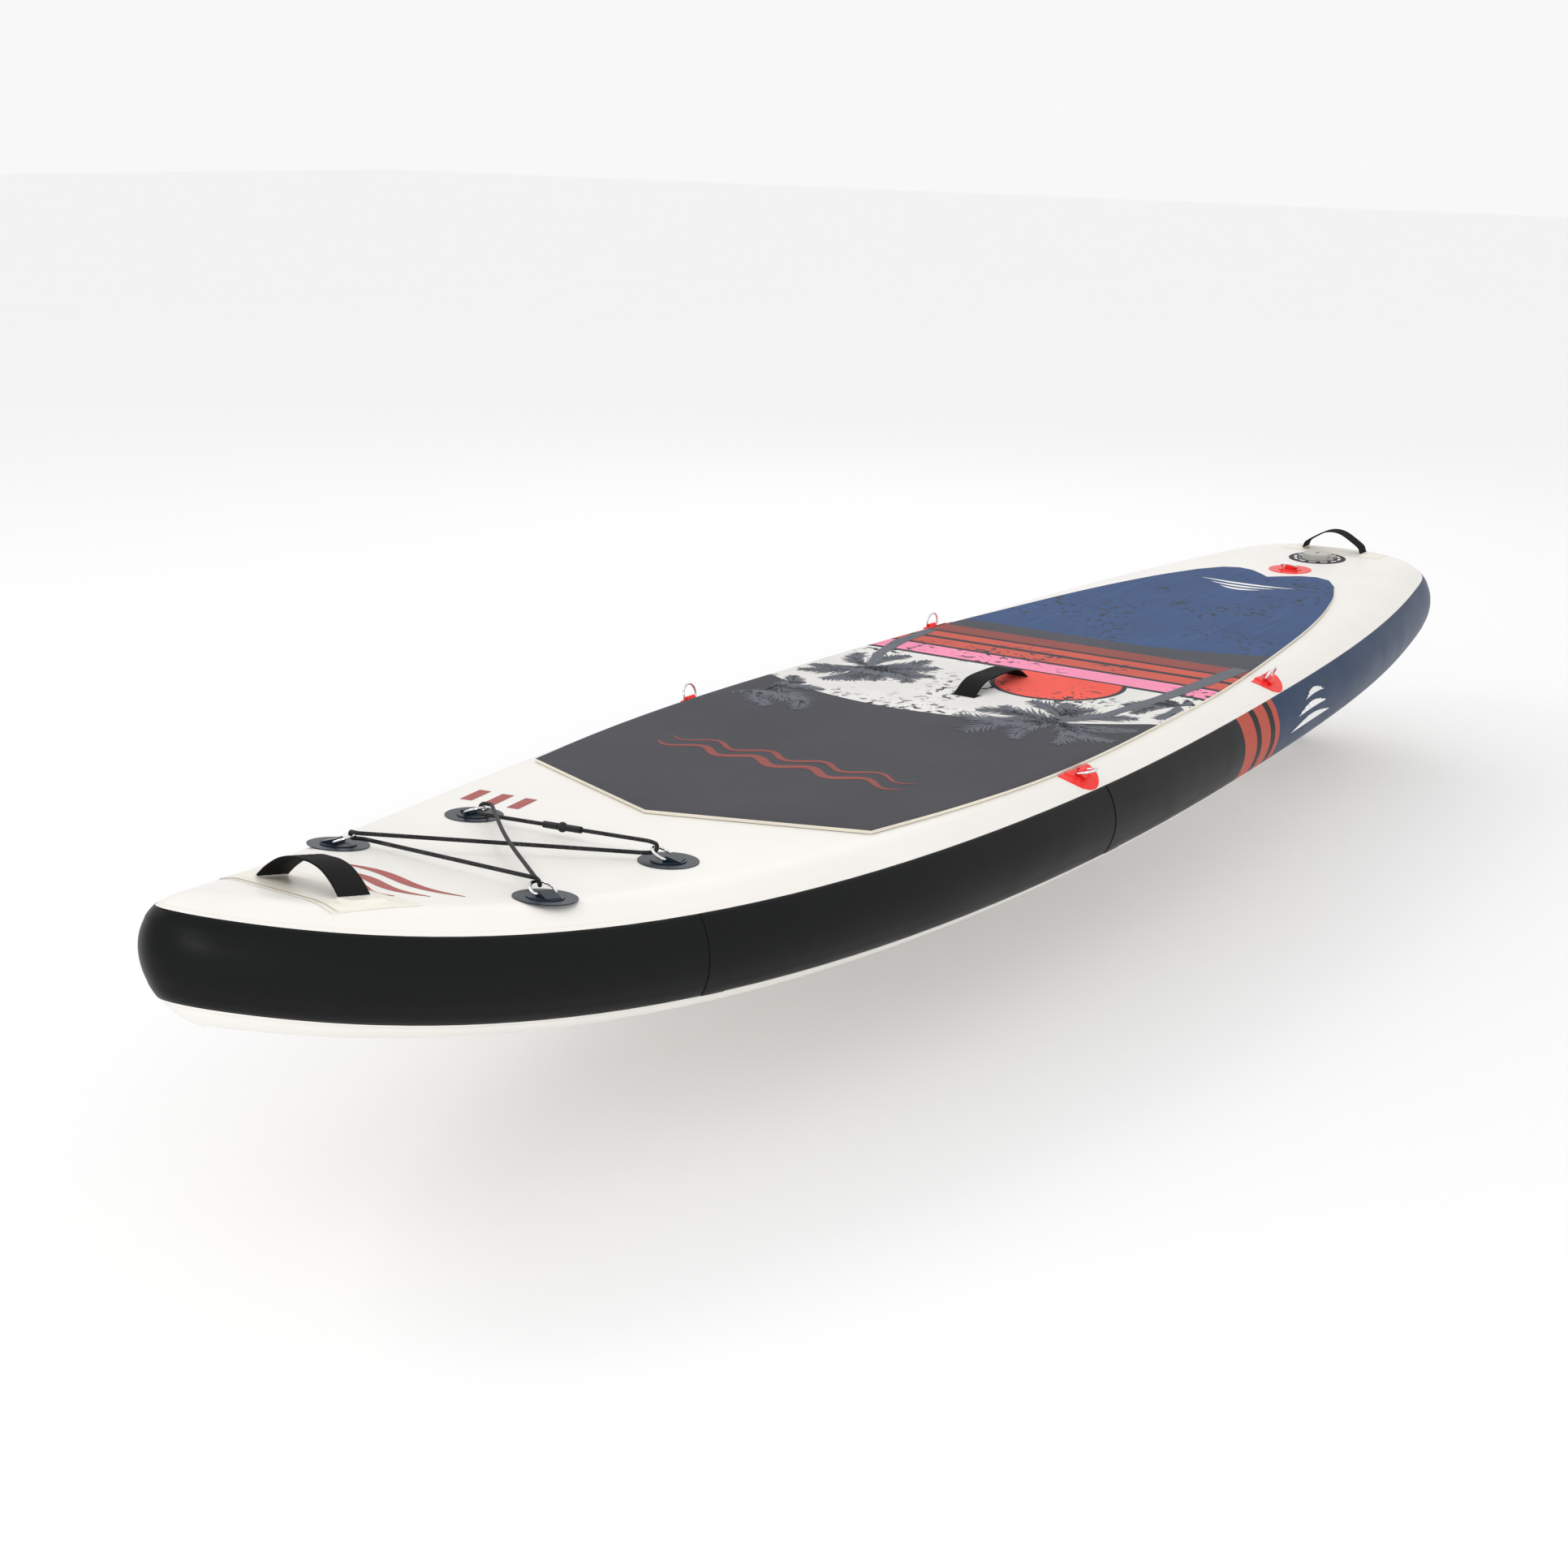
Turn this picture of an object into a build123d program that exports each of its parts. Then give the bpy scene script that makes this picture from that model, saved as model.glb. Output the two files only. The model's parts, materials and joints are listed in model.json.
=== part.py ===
from build123d import *
import math
import os

# Inflatable stand up paddleboard, in millimetres.
# Everything is modelled in board coordinates: X runs from the tail tip (0) to the nose tip,
# Y is to port, and Z is up from the lowest line of the bottom sheet.
# save() then moves each piece so that the origin is under the middle of the board, level with
# the lowest point of the centre fin.

# ---------------------------------------------------------------- driving dimensions
LENGTH = 3200.0
THICKNESS = 150.0
SKIN = 2.0
GAP = 0.3
GLUE_LINE = 0.1

# Half outline of the board, from the tail tip along the port side to the nose tip.
OUTLINE = [
    (0, 0),
    (10, 85),
    (50, 167),
    (220, 242),
    (650, 315),
    (1250, 364),
    (1850, 380),
    (2350, 340),
    (2750, 250.5),
    (3020, 143.5),
    (3150, 66),
    (3189, 30),
    (LENGTH, 0),
]
NOSE_CORE_X = 3120.0

# Rocker: how far the bottom line lifts towards each end.
NOSE_LIFT, NOSE_LIFT_START, NOSE_LIFT_POWER = 120.6, 1557.8, 5.11
TAIL_LIFT, TAIL_LIFT_START, TAIL_LIFT_POWER = 26.9, 1785.7, 1.84

# The rail is a half round of half the thickness. Angles are measured at its centre.
RAIL_RADIUS = THICKNESS / 2
SEAM_UP, SEAM_DOWN = 42.6, -38.4
PANEL_EDGE = 80.0
PANEL_CUTS = [0, 560, 1300, 2000, 2400, 2700, 2950, LENGTH]
CUT_GAP = 0.1
STATION_MARGIN = 0.004
SECTION_COUNT = 44
TAPE_THICKNESS = 1.3
OUTER_TAPE = RAIL_RADIUS
INNER_TAPE = RAIL_RADIUS - SKIN - GAP
INNER_OVERLAP = 6.0
NOSE_LAP_X = 2605.0
TAIL_LAP_X = 1215.0
INNER_LAP_X = 2200.0

THREAD_RADIUS = 0.8
THREAD_PITCH_X, THREAD_PITCH_Y = 160.0, 100.0

PAD_THICKNESS = 5.0
PAD_FRONT_X = 2395.0
PAD_SIDE = [
    (2288, 274),
    (2130, 300),
    (1960, 318),
    (1800, 323),
    (1600, 318),
    (1300, 302),
    (1000, 266),
    (750, 227),
    (560, 181),
    (452, 141),
    (403, 110),
    (389, 80),
    (397, 50),
    (420, 22),
    (441, 0),
]

PATCH_THICKNESS = 1.2
PATCH_STEP = 1.2
BUNGEE_PATCH_RADIUS = 37.0
RING_PATCH_RADIUS = 41.0
STEP_RADIUS = 22.0
TAB_WIDTH, TAB_LENGTH = 20.0, 18.0
BAR_HEIGHT = 5.0
RING_WIRE = 1.9
RING_HALF_WIDTH, RING_STRAIGHT, RING_CORNER = 15.0, 7.0, 4.0
BORE_CLEARANCE = 0.3

BUNGEE_NOSE_X, BUNGEE_NOSE_Y = 2779.0, 159.0
BUNGEE_TAIL_X, BUNGEE_TAIL_Y = 2547.0, 153.5
CORD_RADIUS = 2.5
CROSSING_LOW, CROSSING_HIGH = 14.5, 21.0
JOINER_HALF, BARREL_RADIUS, BALL_RADIUS = 28.0, 4.3, 6.5
BUNGEE_RING_LEAN = 25.0

SIDE_RING_X = {"fore": 1848.0, "aft": 1163.0}
SIDE_PATCH_INSET = 57.0
SIDE_BAR_INSET = 44.0
LEASH_X = 330.0
SIDE_RING_REST = {
    "fore_port": 140.0,
    "fore_starboard": 75.0,
    "aft_port": 95.0,
    "aft_starboard": 60.0,
}
LEASH_RING_REST = 25.0

NOSE_HANDLE_X, NOSE_WEB_WIDTH, NOSE_HANDLE_RISE = 2976.0, 48.0, 33.0
TAIL_HANDLE_X, TAIL_WEB_WIDTH, TAIL_HANDLE_RISE = 105.0, 32.0, 42.0
CENTRE_HANDLE_X, CENTRE_WEB_WIDTH, CENTRE_HANDLE_RISE = 1508.0, 38.0, 25.0
NOSE_PATCH = (52.0, 78.0, 104.0)
TAIL_PATCH = (27.0, 104.0, 104.0)
PATCH_CORNER = 14.0
WEB_THICKNESS = 2.4
FOOT_LENGTH = 30.0
SLIT_OFFSET, FOOT_OFFSET = 80.0, 104.0

VALVE_X = 193.0
LABEL_OUTER, LABEL_INNER, LABEL_THICKNESS = 56.0, 31.0, 0.8
FLANGE_RADIUS, FLANGE_HEIGHT = 30.0, 4.0
VALVE_BORE, VALVE_TUBE, VALVE_DEPTH = 16.0, 20.5, 42.0
CAP_RADIUS, CAP_HEIGHT, CAP_PIVOT_Y = 27.0, 7.0, 33.0
VALVE_STEP, THROAT_STEP = -5.0, 0.3
SEAT_LIP, SEAT_THICKNESS = 5.0, 3.0
SPIDER_WIDTH, SPIDER_LOW, SPIDER_HIGH, GUIDE_RADIUS = 4.0, -24.0, -20.0, 6.5
LUG_OFFSET, LUG_THICKNESS, LUG_RADIUS = 7.0, 4.0, 3.0
HINGE_PIN_RADIUS, HINGE_PIN_LENGTH, HINGE_BORE_RADIUS = 1.45, 18.0, 1.5
NUT_RADIUS, NUT_BOTTOM = 34.0, -10.0
STEM_RADIUS, BUTTON_RADIUS, BUTTON_LOW, STEM_TOP = 2.5, 6.0, -9.0, -6.0
POPPET_RADIUS, POPPET_THICKNESS, POPPET_DROP = 14.0, 2.3, 2.2
SEAL_RADIUS, SEAL_BORE = 13.5, 2.6
SPRING_OUTER, SPRING_INNER = 5.6, 3.6

FIN_X = 350.0
BOX_LENGTH, BOX_WIDTH, BOX_FLANGE, BOX_HEIGHT, BOX_RIB = 286.0, 62.0, 4.0, 27.0, 26.0
SLOT_LENGTH, SLOT_WIDTH, SLOT_DEPTH = 250.0, 9.5, 24.0
GROOVE_HEIGHT, GROOVE_DEPTH, GROOVE_LEVEL = 5.6, 3.6, 12.0
FIT_CLEARANCE = 0.4
FIN_TAB_LENGTH, FIN_TAB_THICKNESS = 152.0, 8.8
FIN_DEPTH, FIN_ROOT, FIN_TIP_CHORD, FIN_RAKE = 178.0, 150.0, 34.0, 95.0
SIDE_FIN_X, SIDE_FIN_Y = 500.0, 120.0
SIDE_FIN_DEPTH, SIDE_FIN_ROOT = 88.0, 105.0
FIN_PIN_RADIUS, FIN_PIN_BORE, FIN_PIN_INSET = 2.35, 2.4, 9.0
SCREW_RADIUS, SCREW_BORE, SCREW_HEAD, SCREW_COUNTERBORE, SCREW_INSET = 2.0, 2.5, 3.9, 4.2, 10.0


# ---------------------------------------------------------------- shape of the board
def rocker(x):
    """Height of the bottom line at x."""
    nose = max(x - NOSE_LIFT_START, 0) / (LENGTH - NOSE_LIFT_START)
    tail = max(TAIL_LIFT_START - x, 0) / TAIL_LIFT_START
    return NOSE_LIFT * nose**NOSE_LIFT_POWER + TAIL_LIFT * tail**TAIL_LIFT_POWER


def slope(x):
    """Pitch of the deck at x, in degrees, positive where it climbs towards the nose."""
    return math.degrees(math.atan2(rocker(x + 1) - rocker(x - 1), 2))


def closed_curve(half):
    """Smooth closed curve through a half outline and its mirror image."""
    mirrored = [(x, -y) for x, y in reversed(half[1:-1])]
    return Edge.make_spline([Vector(x, y) for x, y in list(half) + mirrored], periodic=True)


outline_edge = closed_curve(OUTLINE)


def outline_point(u):
    """A point of the half outline: u is 0 at the tail tip and 1 at the nose tip."""
    return outline_edge.position_at(u / 2) if u < 1 else Vector(LENGTH, 0)


def spoke(u):
    """A point of the half outline and the level direction from it towards the core."""
    point = outline_point(u)
    along = outline_edge.tangent_at(u / 2)
    inward = Vector(along.Y, -along.X)
    if u in (0.0, 1.0):
        return point, Vector(1 if u < 0.5 else -1, 0)
    core_x = point.X + inward.X * point.Y / max(-inward.Y, 1e-6)
    core = Vector(min(core_x, NOSE_CORE_X), 0)
    return point, (core - point).normalized()


def parameter_at(x):
    """Where along the half outline it passes x."""
    low, high = 0.0, 1.0
    for _ in range(40):
        middle = (low + high) / 2
        if outline_point(middle).X < x:
            low = middle
        else:
            high = middle
    return low


def all_stations():
    """Outline parameters where every strip has a section: even steps, and both sides of each cut."""
    cuts = []
    for x in PANEL_CUTS[1:-1] + [NOSE_LAP_X, TAIL_LAP_X, INNER_LAP_X]:
        cuts += [parameter_at(x - CUT_GAP), parameter_at(x + CUT_GAP)]
    even = [0.5 - 0.5 * math.cos(math.pi * k / SECTION_COUNT) for k in range(SECTION_COUNT + 1)]
    clear = [u for u in even if min(abs(u - cut) for cut in cuts) > STATION_MARGIN]
    return sorted(clear + cuts)


ALL_STATIONS = all_stations()


def station_at(x):
    """Outline parameter at x, with the tips exactly at 0 and 1."""
    if x <= 0:
        return 0.0
    return 1.0 if x >= LENGTH else parameter_at(x)


def stations(x_from, x_to):
    """The shared outline parameters from one x to another."""
    low = station_at(x_from)
    high = station_at(x_to)
    return [u for u in ALL_STATIONS if low - 1e-6 <= u <= high + 1e-6]


def rail_point(u, angle, radius, side):
    """A point on the rail: angle is up from its outermost line, radius from its centre line."""
    point, inward = spoke(u)
    inset = RAIL_RADIUS - radius * math.cos(math.radians(angle))
    x = point.X + inward.X * inset
    y = point.Y + inward.Y * inset
    z = rocker(x) + RAIL_RADIUS + radius * math.sin(math.radians(angle))
    return Vector(x, side * max(y, 0), z)


def band_section(u, outer, inner, low, high, side):
    """Closed section of a strip that wraps the rail between two angles."""
    angles = [low + (high - low) * k / 4 for k in range(5)]
    outside = [rail_point(u, a, outer, side) for a in angles]
    inside = [rail_point(u, a, inner, side) for a in reversed(angles)]
    return Wire(
        [
            Edge.make_spline(outside),
            Edge.make_line(outside[-1], inside[0]),
            Edge.make_spline(inside),
            Edge.make_line(inside[-1], outside[0]),
        ]
    )


def rail_band(x_from, x_to, outer, inner, low, high, side):
    """A strip along one side of the board."""
    sections = [band_section(u, outer, inner, low, high, side) for u in stations(x_from, x_to)]
    return Solid.make_loft(sections, ruled=True)


def wrapped_band(x_lap, nose, outer, inner, low, high):
    """A strip that goes round the nose or the tail from one side to the other."""
    run = stations(x_lap, LENGTH) if nose else list(reversed(stations(0, x_lap)))
    port = [band_section(u, outer, inner, low, high, 1) for u in run]
    starboard = [band_section(u, outer, inner, low, high, -1) for u in reversed(run[:-1])]
    return Solid.make_loft(port + starboard, ruled=True)


def slab(bottom, top):
    """A sheet that follows the rocker, between two heights above the bottom line."""
    xs = [-20.0] + [LENGTH * k / 32 for k in range(33)] + [LENGTH + 20]
    low = [Vector(x, 0, rocker(x) + bottom) for x in xs]
    high = [Vector(x, 0, rocker(x) + top) for x in reversed(xs)]
    profile = Wire(
        [
            Edge.make_spline(low),
            Edge.make_line(low[-1], high[0]),
            Edge.make_spline(high),
            Edge.make_line(high[-1], low[0]),
        ]
    )
    sheet = Solid.extrude(Face(profile), Vector(0, 900, 0))
    return sheet.moved(Location((0, -450, 0)))


def prism(face, low=-60.0, high=420.0):
    """A plan shape stood up through the whole board."""
    return Solid.extrude(face, Vector(0, 0, high - low)).moved(Location((0, 0, low)))


def panel_plan(inset_angle, gap):
    """Plan of the flat deck or bottom panel, inside the curled edge strips."""
    half = []
    inset = RAIL_RADIUS * (1 - math.cos(math.radians(inset_angle))) + gap
    for u in ALL_STATIONS:
        point, inward = spoke(u)
        y = 0 if u in (0.0, 1.0) else point.Y + inward.Y * inset
        half.append((point.X + inward.X * inset, y))
    mirrored = [(x, -y) for x, y in reversed(half[1:-1])]
    return Face(Wire.make_polygon([Vector(x, y) for x, y in half + mirrored], close=True))


def on_deck(x, y, turn=0.0, height=0.0):
    """Frame on the deck: local Z is square to the deck and local X is turned from the nose."""
    pitch = math.radians(slope(x))
    up = Vector(-math.sin(pitch), 0, math.cos(pitch))
    ahead = Vector(math.cos(pitch), 0, math.sin(pitch))
    origin = Vector(x, y, rocker(x) + THICKNESS) + up * height
    return Location(Plane(origin=origin, x_dir=ahead, z_dir=up)) * Location((0, 0, 0), (0, 0, turn))


def under_board(x, y, cant=0.0):
    """Frame under the board: local Z points down, away from the bottom sheet."""
    pitch = math.radians(slope(x))
    down = Vector(math.sin(pitch), 0, -math.cos(pitch))
    ahead = Vector(math.cos(pitch), 0, math.sin(pitch))
    plane = Plane(origin=Vector(x, y, rocker(x)), x_dir=ahead, z_dir=down)
    return Location(plane) * Location((0, 0, 0), (cant, 0, 0))


def box(x0, x1, y0, y1, z0, z1):
    """A block between two corners."""
    return Solid.make_box(x1 - x0, y1 - y0, z1 - z0).moved(Location((x0, y0, z0)))


def tube(outer, inner, z0, z1):
    """A ring about local Z."""
    solid = Solid.make_cylinder(outer, z1 - z0).moved(Location((0, 0, z0)))
    if inner > 0:
        solid = solid.cut(Solid.make_cylinder(inner, z1 - z0 + 2).moved(Location((0, 0, z0 - 1))))
    return first_solid(solid)


def first_solid(shape):
    """The one solid of a shape that booleans may have wrapped."""
    return shape.solids()[0]


def lying_cylinder(radius, y0, y1, x=0.0, z=0.0):
    """A round bar along local Y."""
    bar = Solid.make_cylinder(radius, y1 - y0)
    return bar.moved(Location((x, y0, z), (-90, 0, 0)))


# ---------------------------------------------------------------- writing the pieces
os.makedirs("parts", exist_ok=True)
pieces = {}


def save(name, *solids):
    """Keeps a piece until the centre fin has set the floor level."""
    pieces[name] = [s for solid in solids for s in solid.solids()]


# ---------------------------------------------------------------- hull
DECK_SLAB = slab(THICKNESS - SKIN, THICKNESS)
BOTTOM_SLAB = slab(0, SKIN)


def edge_strips(low, high):
    """Curled edges of a sheet, port and starboard, in the same lengths as its panels."""
    thick = (RAIL_RADIUS, RAIL_RADIUS - SKIN)
    strips = []
    for x_from, x_to in zip(PANEL_CUTS, PANEL_CUTS[1:]):
        start = x_from if x_from == 0 else x_from + CUT_GAP
        end = x_to if x_to == LENGTH else x_to - CUT_GAP
        strips += [rail_band(start, end, *thick, low, high, side) for side in (1, -1)]
    return strips


def panel_lengths(panel):
    """A panel cut square across into shorter lengths that each follow the rocker closely."""
    pieces_along = []
    for x_from, x_to in zip(PANEL_CUTS, PANEL_CUTS[1:]):
        window = box(x_from + CUT_GAP, x_to - CUT_GAP, -450, 450, -60, 420)
        pieces_along.append(first_solid(panel.intersect(window)))
    return pieces_along


def hull_skins():
    """Deck and bottom sheets: a flat panel and the edge that curls down to the seam."""
    panel = prism(panel_plan(PANEL_EDGE, GAP))
    valve_hole = Solid.make_cylinder(VALVE_TUBE + GAP, 400).moved(Location((VALVE_X, 0, 0)))
    deck = first_solid(first_solid(panel.intersect(DECK_SLAB)).cut(valve_hole))
    save("deck_skin", *panel_lengths(deck), *edge_strips(SEAM_UP + 0.3, PANEL_EDGE))
    bottom = first_solid(panel.intersect(BOTTOM_SLAB))
    save("bottom_skin", *panel_lengths(bottom), *edge_strips(-PANEL_EDGE, SEAM_DOWN - 0.3))


def rails():
    """Two layers of rail tape: inner strips for each side, outer strips lapped fore and aft."""
    outside = (OUTER_TAPE, OUTER_TAPE - TAPE_THICKNESS, SEAM_DOWN, SEAM_UP)
    save("rail_nose", wrapped_band(NOSE_LAP_X + CUT_GAP, True, *outside))
    save("rail_tail", wrapped_band(TAIL_LAP_X - CUT_GAP, False, *outside))
    for name, side in (("port", 1), ("starboard", -1)):
        middle = rail_band(TAIL_LAP_X + CUT_GAP, NOSE_LAP_X - CUT_GAP, *outside, side)
        save("rail_middle_" + name, middle)
    low, high = SEAM_DOWN - INNER_OVERLAP, SEAM_UP + INNER_OVERLAP
    inside = (INNER_TAPE, INNER_TAPE - TAPE_THICKNESS, low, high)
    save("inner_rail_nose", wrapped_band(INNER_LAP_X + CUT_GAP, True, *inside))
    save("inner_rail_tail", wrapped_band(INNER_LAP_X - CUT_GAP, False, *inside))


def threads():
    """Drop-stitch threads that hold the deck and the bottom parallel."""
    solids = []
    rows = int(LENGTH / THREAD_PITCH_X) - 1
    for i in range(1, rows + 1):
        x = i * THREAD_PITCH_X
        half = outline_point(parameter_at(x)).Y - RAIL_RADIUS - 10
        across = int(half / THREAD_PITCH_Y)
        for j in range(-across, across + 1):
            y = j * THREAD_PITCH_Y
            if math.hypot(x - VALVE_X, y) < 60:
                continue
            height = THICKNESS - 2 * SKIN - 1.0
            thread = Solid.make_cylinder(THREAD_RADIUS, height)
            solids.append(thread.moved(Location((x, y, rocker(x) + SKIN + 0.5))))
    save("drop_stitch_threads", *solids)


# ---------------------------------------------------------------- ring patches and rings
def tab(turn_frame):
    """Moulded loop that holds a ring's bar, with the round step that it stands on."""
    step = tube(STEP_RADIUS, 0, PATCH_THICKNESS - 0.6, PATCH_THICKNESS + PATCH_STEP)
    half = TAB_WIDTH / 2
    wall = RING_WIRE + BORE_CLEARANCE + 1.6
    eye = lying_cylinder(wall, -half, half, 0, BAR_HEIGHT)
    side = Wire(
        [
            Edge.make_line(Vector(-TAB_LENGTH, -half, 1), Vector(wall, -half, 1)),
            Edge.make_line(Vector(wall, -half, 1), Vector(wall, -half, BAR_HEIGHT)),
            Edge.make_line(Vector(wall, -half, BAR_HEIGHT), Vector(0, -half, BAR_HEIGHT + wall)),
            Edge.make_line(Vector(0, -half, BAR_HEIGHT + wall), Vector(-TAB_LENGTH, -half, 3.2)),
            Edge.make_line(Vector(-TAB_LENGTH, -half, 3.2), Vector(-TAB_LENGTH, -half, 1)),
        ]
    )
    wedge = Solid.extrude(Face(side), Vector(0, TAB_WIDTH, 0))
    bore = lying_cylinder(RING_WIRE + BORE_CLEARANCE, -half - 1, half + 1, 0, BAR_HEIGHT)
    body = step.fuse(wedge).cut(bore)
    return first_solid(body).moved(turn_frame)


def ring(lean):
    """Ring of round wire: its straight bar is on local Y, its bow leans up from local X."""
    w, s, c = RING_HALF_WIDTH, RING_STRAIGHT, RING_CORNER
    k = c * (1 - math.sqrt(0.5))
    points = [
        ((0, -w + c), None, (0, w - c)),
        ((0, w - c), (k, w - k), (c, w)),
        ((c, w), None, (s, w)),
        ((s, w), (s + w, 0), (s, -w)),
        ((s, -w), None, (c, -w)),
        ((c, -w), (k, -w + k), (0, -w + c)),
    ]
    solid = None
    for start, middle, end in points:
        a, b = Vector(*start), Vector(*end)
        if middle is None:
            edge = Edge.make_line(a, b)
        else:
            edge = Edge.make_three_point_arc(a, Vector(*middle), b)
        section = Face(Wire(Edge.make_circle(RING_WIRE, Plane(a, z_dir=edge.tangent_at(0)))))
        piece = Solid.sweep(section, edge)
        solid = piece if solid is None else solid.fuse(piece)
    return first_solid(solid).moved(Location((0, 0, BAR_HEIGHT), (0, -lean, 0)))


def round_patch(x, y, radius):
    """Disc of PVC that follows the deck."""
    disc = Face(Wire(Edge.make_circle(radius))).moved(Location((x, y, 0)))
    layer = slab(THICKNESS + GLUE_LINE, THICKNESS + PATCH_THICKNESS)
    return first_solid(prism(disc).intersect(layer))


def deck_ring(name, x, y, radius, turn, lean):
    """A ring patch on the flat deck and its ring."""
    frame = on_deck(x, y, turn)
    save(name + "_patch", first_solid(round_patch(x, y, radius).fuse(tab(frame))))
    save(name + "_ring", ring(lean).moved(frame))


def bungee_rings():
    """Four patches whose rings lean the way the cord pulls them."""
    spots = {
        "nose_port": (BUNGEE_NOSE_X, BUNGEE_NOSE_Y),
        "nose_starboard": (BUNGEE_NOSE_X, -BUNGEE_NOSE_Y),
        "tail_port": (BUNGEE_TAIL_X, BUNGEE_TAIL_Y),
        "tail_starboard": (BUNGEE_TAIL_X, -BUNGEE_TAIL_Y),
    }
    for name, (x, y) in spots.items():
        turn = bungee_turn(x, y)
        deck_ring("bungee_" + name, x, y, BUNGEE_PATCH_RADIUS, turn, BUNGEE_RING_LEAN)


def bungee_turn(x, y):
    """Direction of the cord's pull at a ring: half way between its two runs."""
    across = Vector(0, -math.copysign(1, y))
    other_x = BUNGEE_TAIL_X if x > BUNGEE_TAIL_X + 1 else BUNGEE_NOSE_X
    other_y = BUNGEE_TAIL_Y if x > BUNGEE_TAIL_X + 1 else BUNGEE_NOSE_Y
    diagonal = Vector(other_x - x, -math.copysign(other_y, y) - y).normalized()
    pull = across + diagonal
    return math.degrees(math.atan2(pull.Y, pull.X))


def side_frame(x, side):
    """Frame on the curled deck edge: local X points inboard, along the skin."""
    u = parameter_at(x)
    point, inward = spoke(u)
    angle = math.acos(1 - SIDE_BAR_INSET / RAIL_RADIUS)
    up = Vector(0, 0, 1) * math.sin(angle) - inward * math.cos(angle)
    inboard = inward * math.sin(angle) + Vector(0, 0, 1) * math.cos(angle)
    origin = rail_point(u, math.degrees(angle), RAIL_RADIUS, 1)
    flip = Vector(1, side, 1)
    place = Vector(origin.X, origin.Y * side, origin.Z)
    inboard = Vector(inboard.X, inboard.Y * flip.Y, inboard.Z)
    up = Vector(up.X, up.Y * flip.Y, up.Z)
    return Location(Plane(origin=place, x_dir=inboard, z_dir=up))


def side_rings():
    """Half-round patches beside the pad, each bent over the deck edge, with a free ring."""
    low = math.degrees(math.acos(1 - 12 / RAIL_RADIUS))
    high = math.degrees(math.acos(1 - (SIDE_PATCH_INSET - 1.0) / RAIL_RADIUS))
    for where, x in SIDE_RING_X.items():
        for side_name, side in (("port", 1), ("starboard", -1)):
            edge_y = outline_point(parameter_at(x)).Y - SIDE_PATCH_INSET
            oval = Face(Wire(Edge.make_ellipse(RING_PATCH_RADIUS, RING_PATCH_RADIUS - 4)))
            oval = oval.moved(Location((x, side * edge_y, 0)))
            layer = (RAIL_RADIUS + PATCH_THICKNESS, RAIL_RADIUS + GLUE_LINE)
            strip = patch_strip(x, layer, low, high, side)
            patch = first_solid(prism(oval).intersect(strip))
            frame = side_frame(x, side)
            name = where + "_" + side_name
            save("side_patch_" + name, patch, side_tab().moved(frame))
            save("side_ring_" + name, ring(SIDE_RING_REST[name]).moved(frame))


def patch_strip(x, layer, low, high, side):
    """Short length of a layer over the curled edge, in the same facets as the sheet below it."""
    first = max(u for u in ALL_STATIONS if u < parameter_at(x - RING_PATCH_RADIUS))
    last = min(u for u in ALL_STATIONS if u > parameter_at(x + RING_PATCH_RADIUS))
    run = [u for u in ALL_STATIONS if first <= u <= last]
    sections = [band_section(u, *layer, low, high, side) for u in run]
    return Solid.make_loft(sections, ruled=True)


def side_tab():
    """Loop for a side ring: short, so that it clears the foam pad."""
    half = TAB_WIDTH / 2
    wall = RING_WIRE + BORE_CLEARANCE + 1.6
    base = box(-12, wall, -half, half, PATCH_THICKNESS + 1.1, BAR_HEIGHT)
    eye = lying_cylinder(wall, -half, half, 0, BAR_HEIGHT)
    bore = lying_cylinder(RING_WIRE + BORE_CLEARANCE, -half - 1, half + 1, 0, BAR_HEIGHT)
    return first_solid(base.fuse(eye).cut(bore))


# ---------------------------------------------------------------- bungee cord
def around_ring(x, y):
    """Route points over a ring's bow, down inside it and out below, in board coordinates."""
    lean = math.radians(BUNGEE_RING_LEAN)
    reach = RING_STRAIGHT + RING_HALF_WIDTH
    bow_x = reach * math.cos(lean)
    bow_z = BAR_HEIGHT + reach * math.sin(lean)
    hug = RING_WIRE + CORD_RADIUS + 0.6
    frame = on_deck(x, y, bungee_turn(x, y))
    side = math.copysign(1, y) if x < BUNGEE_NOSE_X - 1 else -math.copysign(1, y)
    local = [
        (bow_x + 7, -9 * side, bow_z + hug),
        (bow_x - hug, -1.5 * side, bow_z + hug - 0.6),
        (bow_x - hug, 1.5 * side, bow_z - hug + 0.6),
        (bow_x + 7, 9 * side, bow_z - hug),
    ]
    return [(frame * Location(point)).position for point in local]


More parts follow.
